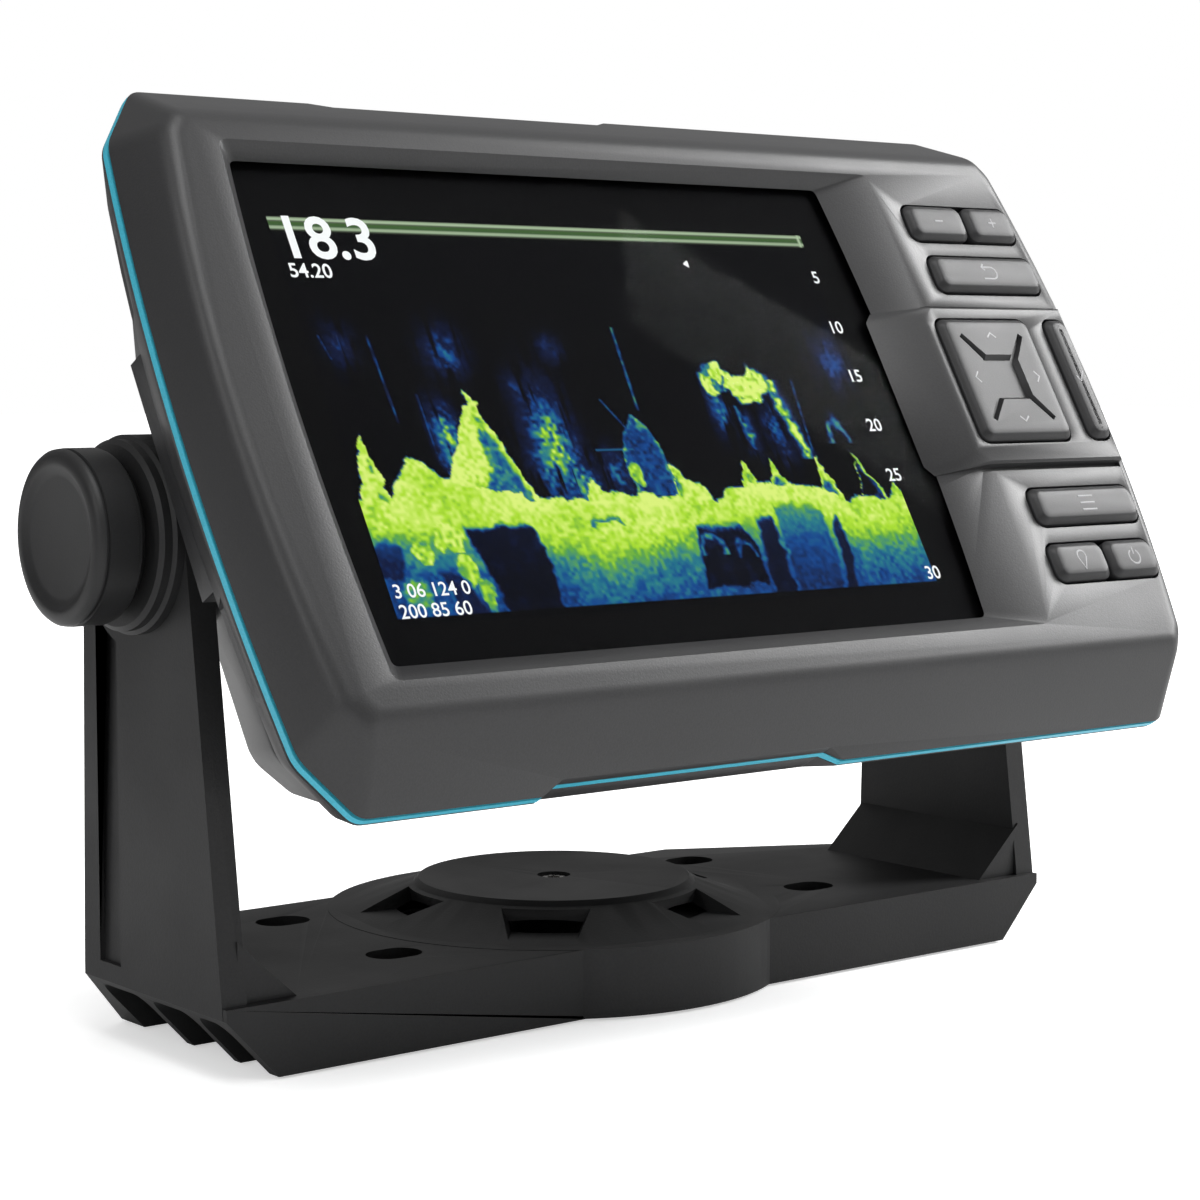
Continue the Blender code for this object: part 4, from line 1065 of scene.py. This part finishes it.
def make_rear_fittings():
    shell = turned([(7.0, 6.3), (7.2, 6.5), (8.4, 6.5), (8.6, 6.3), (8.6, 0.85), (8.75, 0.75),
                    (11.0, 0.75), (11.2, 0.6),
                    (11.2, 0.35), (9.0, 0.35), (9.0, -5.0), (7.0, -5.0)], 96, True)
    key_slot = box((-0.9, 6.2, -1.0), (0.9, 7.9, 8.0))
    shell = cut(shell, key_slot)
    piece("socket_shell", shell, turn_back(SOCKET), "display", "mount_plastic",
          ["connector_shell"], smooth=35)
    insert = turned([(0, -1.0), (6.4, -1.0), (6.65, -1.25), (6.65, -5.0), (0, -5.0)], 64)
    holes = []
    for index in range(4):
        x, z = middle(*span(f"connector_pin_{index + 1}", HEAD))
        spot = (x - SOCKET[0], -(z - SOCKET[1]))
        holes.append(cylinder(0.85, -8, 2, spot, "Z", 24))
    piece("socket_insert", cut(insert, *holes), turn_back(SOCKET), "display", "seal_rubber",
          ["connector_insert"], smooth=35)
    vent = turned([(0, 1.3), (1.0, 1.3), (1.2, 1.1), (2.0, 1.1), (2.2, 1.25), (3.5, 1.1), (4.3, 0.75),
                   (4.6, 0.45),
                   (4.6, 0.3), (3.0, 0.3), (3.0, -3.0), (0, -3.0)], 64)
    piece("vent_cap", vent, turn_back(VENT), "display", "seal_rubber", ["vent_plug"], smooth=40)
    for index, spot in enumerate(SCREWS):
        head = turned([(0, 0.62), (1.6, 0.60), (2.2, 0.42), (2.6, 0.1), (2.7, -0.15), (2.7, -0.55),
                       (1.35, -0.55),
                       (1.35, -12.0), (0, -12.0)], 40)
        drive = prism(hexagon(1.1), -0.3, 2)
        piece(f"case_screw_{index + 1}", cut(head, drive), turn_back(spot), "display",
              "stainless_steel", [f"housing_screw_{index + 1}"], smooth=35)


# ---------------------------------------------------------------- mount


def arm_outline():
    """The arm seen from the side, as (y, z)."""
    crown = []
    for i in range(37):
        angle = math.radians(-4 + 190 * i / 36)
        crown.append((PIVOT_Y + ARM_HEAD_R * math.cos(angle), PIVOT_Z + ARM_HEAD_R * math.sin(angle)))
    front, back = PLATE_FRONT + 0.06, ARM_BACK + 0.06
    return [(front, 1.0), (back, 1.0), (back, 12.0), (back - 1.2, 61.0)] + crown + [(front + 1.1, 12.0)]


def groove_outline():
    """The long recess in the arm's outer face; its top follows the round head."""
    top = []
    for i in range(9):
        y = 3.4 - 6.0 * i / 8
        top.append((y, PIVOT_Z - math.sqrt((ARM_HEAD_R + 2.4) ** 2 - (y - PIVOT_Y) ** 2)))
    return [(-2.6, 12.0), (3.4, 12.0)] + top


def plan_outline():
    edge = ARM_OUT - 0.06
    right = [(edge, PLATE_FRONT), (edge, ARM_BACK), (46.0, PLATE_BACK)]
    return right + [(-x, y) for x, y in reversed(right)]


def boss_window(angle):
    """A window through the boss's skirt: wide at the top, with slanted sides."""
    r0, r1 = 22.6, 34.0
    z0, z1 = PLATE_TOP + 0.5, BOSS_TOP - 1.1
    rings = [[(r, sign * half, z) for sign, half,
              z in ((-1, 5.2, z0), (1, 5.2, z0), (1, 6.9, z1), (-1, 6.9, z1))]
             for r in (r0, r1)]
    mesh = loft(rings)
    mesh.transform(Matrix.Rotation(angle, 4, "Z"))
    return mesh


def make_mount():
    plate = prism(plan_outline(), PLATE_LOW, PLATE_TOP)
    plate = cut(plate, cylinder(BULGE_R - 1.5, -1, PLATE_TOP + 1, sides=128))
    boss = turned([
        (BOSS_DISC_R - 0.5, BOSS_TOP), (BOSS_DISC_R, BOSS_TOP - 0.35),
        (BOSS_DISC_R + 0.4, BOSS_TOP - 0.8),
        (BOSS_CONE_R, PLATE_TOP + 0.06), (BULGE_R, PLATE_TOP + 0.06), (BULGE_R, PLATE_LOW + 0.06),
        (BULGE_R - 3.0, PLATE_LOW + 0.06), (BULGE_R - 3.0, PLATE_TOP - 2.4),
        (BOSS_DISC_R - 1.0, BOSS_TOP - 2.4),
        (10.0, BOSS_TOP - 2.4), (8.5, BOSS_TOP - 3.6), (1.75, BOSS_TOP - 3.6), (1.75, BOSS_TOP - 2.0),
        (2.7, BOSS_TOP - 2.0), (2.7, BOSS_TOP)], 128, True)
    parts = [boss]
    for side in (-1, 1):
        parts.append(prism(arm_outline(), *sides_of(side, ARM_IN, ARM_OUT), "X"))
        parts.append(arm_collar(side))
        root = side * (ARM_IN + 1)
        corner = [(root, 19.6), (side * 67.5, PLATE_TOP - 0.6), (root, PLATE_TOP - 0.6)]
        parts.append(prism(corner, PLATE_FRONT + 1.8, ARM_BACK - 0.4, "Y"))
    mount = join(plate, *parts)
    mount = cut(mount, *mount_cutters())
    piece("mount_frame", tidy(mount), WORLD, "bracket", "mount_plastic", ["bail_bracket"],
          bevel=0.4)


def arm_collar(side):
    """The round collar that the knob bears on, stepped in towards the knob."""
    profile = [(0, RING_OUT - 0.5), (ARM_HEAD_R - 1.3, RING_OUT - 0.5),
               (ARM_HEAD_R - 0.6, RING_OUT - 1.0),
               (ARM_HEAD_R - 0.6, ARM_OUT + 1.6), (ARM_HEAD_R, ARM_OUT + 1.2),
               (ARM_HEAD_R, ARM_OUT - 0.5),
               (0, ARM_OUT - 0.5)]
    mesh = turned(profile, 96)
    mesh.transform(Matrix.Translation((0, PIVOT_Y, PIVOT_Z)) @ Matrix.Rotation(side * math.pi / 2, 4,
                                                                               "Y"))
    return mesh


def mount_cutters():
    cutters = []
    for side in (-1, 1):
        edge = side * (ARM_OUT + 2)
        cutters.append(prism([(edge, 11.4), (edge, -2), (side * 70.0, -2)], -60, 60, "Y"))
        for low, high in ((-28.8, -21.3), (-19.6, -8.6), (-6.6, 5.6)):
            cutters.append(prism(rounded(low, high, -6, 8.3, 2.2), *sides_of(side, 37.5, 84), "X"))
        x0, x1 = sides_of(side, 37.5, 52.0)
        cutters.append(box((x0, 8.2, -2), (x1, 20.5, 8.3)))
        cutters.append(cylinder(3.5, *sides_of(side, 70, 90), (PIVOT_Y, PIVOT_Z), "X", 48))
        cutters.append(prism(groove_outline(), *sides_of(side, ARM_OUT - 0.8, ARM_OUT + 1), "X"))
        for end in (-1, 1):
            x, y = side * SLOT_X, end * SLOT_Y
            slot = rounded(x - 4.4, x + 4.4, y - 3.3, y + 3.3, 3.2)
            cutters.append(prism(slot, 5, 14))
    cutters += [boss_window(math.radians(229 + 60 * index)) for index in range(6)]
    return cutters


# ---------------------------------------------------------------- knobs, swivel and small parts


def make_knobs():
    face, root = KNOB_OUT, KNOB_OUT - 7.9
    profile = [(0, face - 0.75), (KNOB_R - 4.0, face - 0.62), (KNOB_R - 2.9, face - 0.45),
               (KNOB_R - 2.5, face - 0.1),
               (KNOB_R - 2.0, face), (KNOB_R - 1.1, face - 0.05), (KNOB_R - 0.45, face - 0.35),
               (KNOB_R - 0.12, face - 0.8),
               (KNOB_R - 0.05, face - 1.25), (KNOB_R - 0.38, face - 1.4), (KNOB_R - 0.38, face - 1.7),
               (KNOB_R, face - 1.85),
               (KNOB_R, root + 1.9), (KNOB_R - 0.25, root + 1.75), (KNOB_R - 0.25, root + 1.2),
               (KNOB_R - 0.7, root + 0.7),
               (KNOB_R - 1.4, root + 0.1), (9.1, root + 0.1), (9.1, root + 0.95), (0, root + 0.95)]
    for side, word in ((-1, "left"), (1, "right")):
        place = WORLD @ Matrix.Translation((0, PIVOT_Y, PIVOT_Z)) @ Matrix.Rotation(side * math.pi / 2,
                                                                                    4, "Y")
        knob = turned(profile, 128)
        bore = cylinder(3.25, 60, face - 2.0, sides=32)
        piece(f"knob_cap_{word}", cut(knob, bore), place, f"{word}_knob", "knob_plastic",
              [f"knob_{word}"], smooth=38)
        disc = turned([(3.6, 76.2), (11.4, 76.2), (11.5, 76.1), (11.5, 74.9), (11.4, 74.8),
                       (3.6, 74.8)], 64, True)
        head_place = HEAD @ Matrix.Rotation(side * math.pi / 2, 4, "Y")
        piece(f"clamp_disc_{word}", disc, head_place, "display", "seal_rubber",
              [f"friction_disc_{word}"], smooth=35)


def make_swivel():
    top = 7.0
    foot = turned([(0, top), (28.4, top), (29.2, top - 0.4), (30.7, top - 1.8), (31.0, top - 2.4),
                   (31.0, 0.4),
                   (30.6, 0.0), (0, 0.0)], 128)
    foot = join(foot, cylinder(7.0, top - 1.0, 11.0))
    holes = [cylinder(1.75, 3.0, top + 6, sides=32)]
    for index in range(3):
        angle = math.radians(90 + 120 * index)
        holes.append(cylinder(2.4, -1, top + 1, (20 * math.cos(angle), 20 * math.sin(angle)), "Z", 48))
    piece("swivel_foot", cut(foot, *holes), WORLD, "swivel_base", "mount_plastic",
          ["swivel_base"], smooth=35)
    screw = turned([(0, 15.2), (1.9, 15.2), (2.2, 15.05), (2.35, 14.75), (2.35, 13.95), (1.4, 13.95),
                    (1.4, 4.0), (0, 4.0)],
                   48)
    drive = prism(hexagon(1.15), 14.3, 17)
    piece("swivel_bolt", cut(screw, drive), WORLD, "swivel_base", "stainless_steel",
          ["swivel_screw"], smooth=35)


def dress_the_rest():
    """Every CAD node that still shows takes its slot's material."""
    for name, node in frame["nodes"].items():
        look = LOOKS[SLOT_OF[name]]
        if name == "lcd_panel":
            look = MASK
        node.data.materials.clear()
        node.data.materials.append(look)


# ---------------------------------------------------------------- camera, floor and light

CAMERA_SPOT = (-0.2738, -0.3516, 0.0990)
CAMERA_YAW, CAMERA_PITCH = math.radians(38.87), math.radians(-4.98)
CAMERA_LENS = 83.6


def make_camera():
    data = bpy.data.cameras.new("camera")
    data.lens = CAMERA_LENS
    data.sensor_width = 36.0
    data.clip_start = 0.01
    made = bpy.data.objects.new("camera", data)
    made.location = CAMERA_SPOT
    made.rotation_euler = (math.pi / 2 + CAMERA_PITCH, 0, -CAMERA_YAW)
    bpy.context.scene.collection.objects.link(made)
    bpy.context.scene.camera = made


def area_light(name, spot, aim, size, power):
    data = bpy.data.lights.new(name, "AREA")
    data.shape = "RECTANGLE"
    data.size, data.size_y = size
    data.energy = power
    made = bpy.data.objects.new(name, data)
    made.visible_transmission = False
    made.location = spot
    made.rotation_euler = (Vector(aim) - Vector(spot)).to_track_quat("-Z", "Y").to_euler()
    bpy.context.scene.collection.objects.link(made)


def make_world():
    """White to the camera. As a light it is brighter from the right and from above."""
    world = bpy.data.worlds.new("studio")
    bpy.context.scene.world = world
    world.use_nodes = True
    tree = world.node_tree
    back = tree.nodes["Background"]
    path = tree.nodes.new("ShaderNodeLightPath")
    coords = tree.nodes.new("ShaderNodeTexCoord")
    lean = tree.nodes.new("ShaderNodeVectorMath")
    lean.operation = "DOT_PRODUCT"
    lean.inputs[1].default_value = (0.35, -0.25, 0.90)
    tree.links.new(coords.outputs["Generated"], lean.inputs[0])
    level = tree.nodes.new("ShaderNodeMapRange")
    level.inputs["From Min"].default_value = -0.2
    level.inputs["From Max"].default_value = 0.9
    level.inputs["To Min"].default_value = 0.13
    level.inputs["To Max"].default_value = 0.55
    tree.links.new(lean.outputs["Value"], level.inputs["Value"])
    seen = tree.nodes.new("ShaderNodeMix")
    seen.inputs["B"].default_value = 1.0
    tree.links.new(path.outputs["Is Camera Ray"], seen.inputs["Factor"])
    tree.links.new(level.outputs["Result"], seen.inputs["A"])
    tree.links.new(seen.outputs["Result"], back.inputs["Strength"])
    back.inputs["Color"].default_value = (1, 1, 1, 1)


FLOOR_GLOW = 0.5  # what the camera sees the floor give off close to the object


def make_stage():
    """A white floor that glows to the camera, more so further out, until it meets the white behind."""
    mesh = mesh_from("floor", lambda bm: bmesh.ops.create_grid(bm, x_segments=1, y_segments=1, size=4.0))
    floor = bpy.data.objects.new("floor", mesh)
    bpy.context.scene.collection.objects.link(floor)
    made, tree, shader = shader_of("floor_look")
    shader.inputs["Base Color"].default_value = (0.93, 0.93, 0.93, 1)
    shader.inputs["Roughness"].default_value = 0.8
    shader.inputs["Specular IOR Level"].default_value = 0.1
    coords = tree.nodes.new("ShaderNodeTexCoord")
    away = tree.nodes.new("ShaderNodeVectorMath")
    away.operation = "LENGTH"
    tree.links.new(coords.outputs["Object"], away.inputs[0])
    glow = tree.nodes.new("ShaderNodeMapRange")
    glow.inputs["From Min"].default_value = 0.15
    glow.inputs["From Max"].default_value = 0.8
    glow.inputs["To Min"].default_value = FLOOR_GLOW
    glow.inputs["To Max"].default_value = 1.0
    tree.links.new(away.outputs["Value"], glow.inputs["Value"])
    path = tree.nodes.new("ShaderNodeLightPath")
    seen = tree.nodes.new("ShaderNodeMath")
    seen.operation = "MULTIPLY"
    tree.links.new(glow.outputs["Result"], seen.inputs[0])
    tree.links.new(path.outputs["Is Camera Ray"], seen.inputs[1])
    tree.links.new(seen.outputs["Value"], shader.inputs["Emission Strength"])
    shader.inputs["Emission Color"].default_value = (1, 1, 1, 1)
    mesh.materials.append(made)


# Name, place, what it aims at, size and watts
LIGHTS = (("overhead", (-0.22, -0.45, 1.15), (0, 0, 0), (0.5, 0.9), 7),
          ("right_key", (0.93, -0.25, 0.60), (0.08, -0.03, 0.08), (0.24, 0.6), 12),
          ("left_strip", (-0.8, -0.15, 0.5), (0, 0, 0.06), (0.15, 0.6), 1.6))


def make_lights():
    for light in LIGHTS:
        area_light(*light)


bpy.context.scene.view_settings.view_transform = "Standard"
bpy.context.scene.view_settings.look = "None"
make_camera()
make_world()
make_stage()
make_lights()
dress_the_rest()
make_bezel()
make_band()
make_keys()
make_glass()
make_picture()
make_figures()
make_housing()
make_rear_fittings()
make_mount()
make_knobs()
make_swivel()
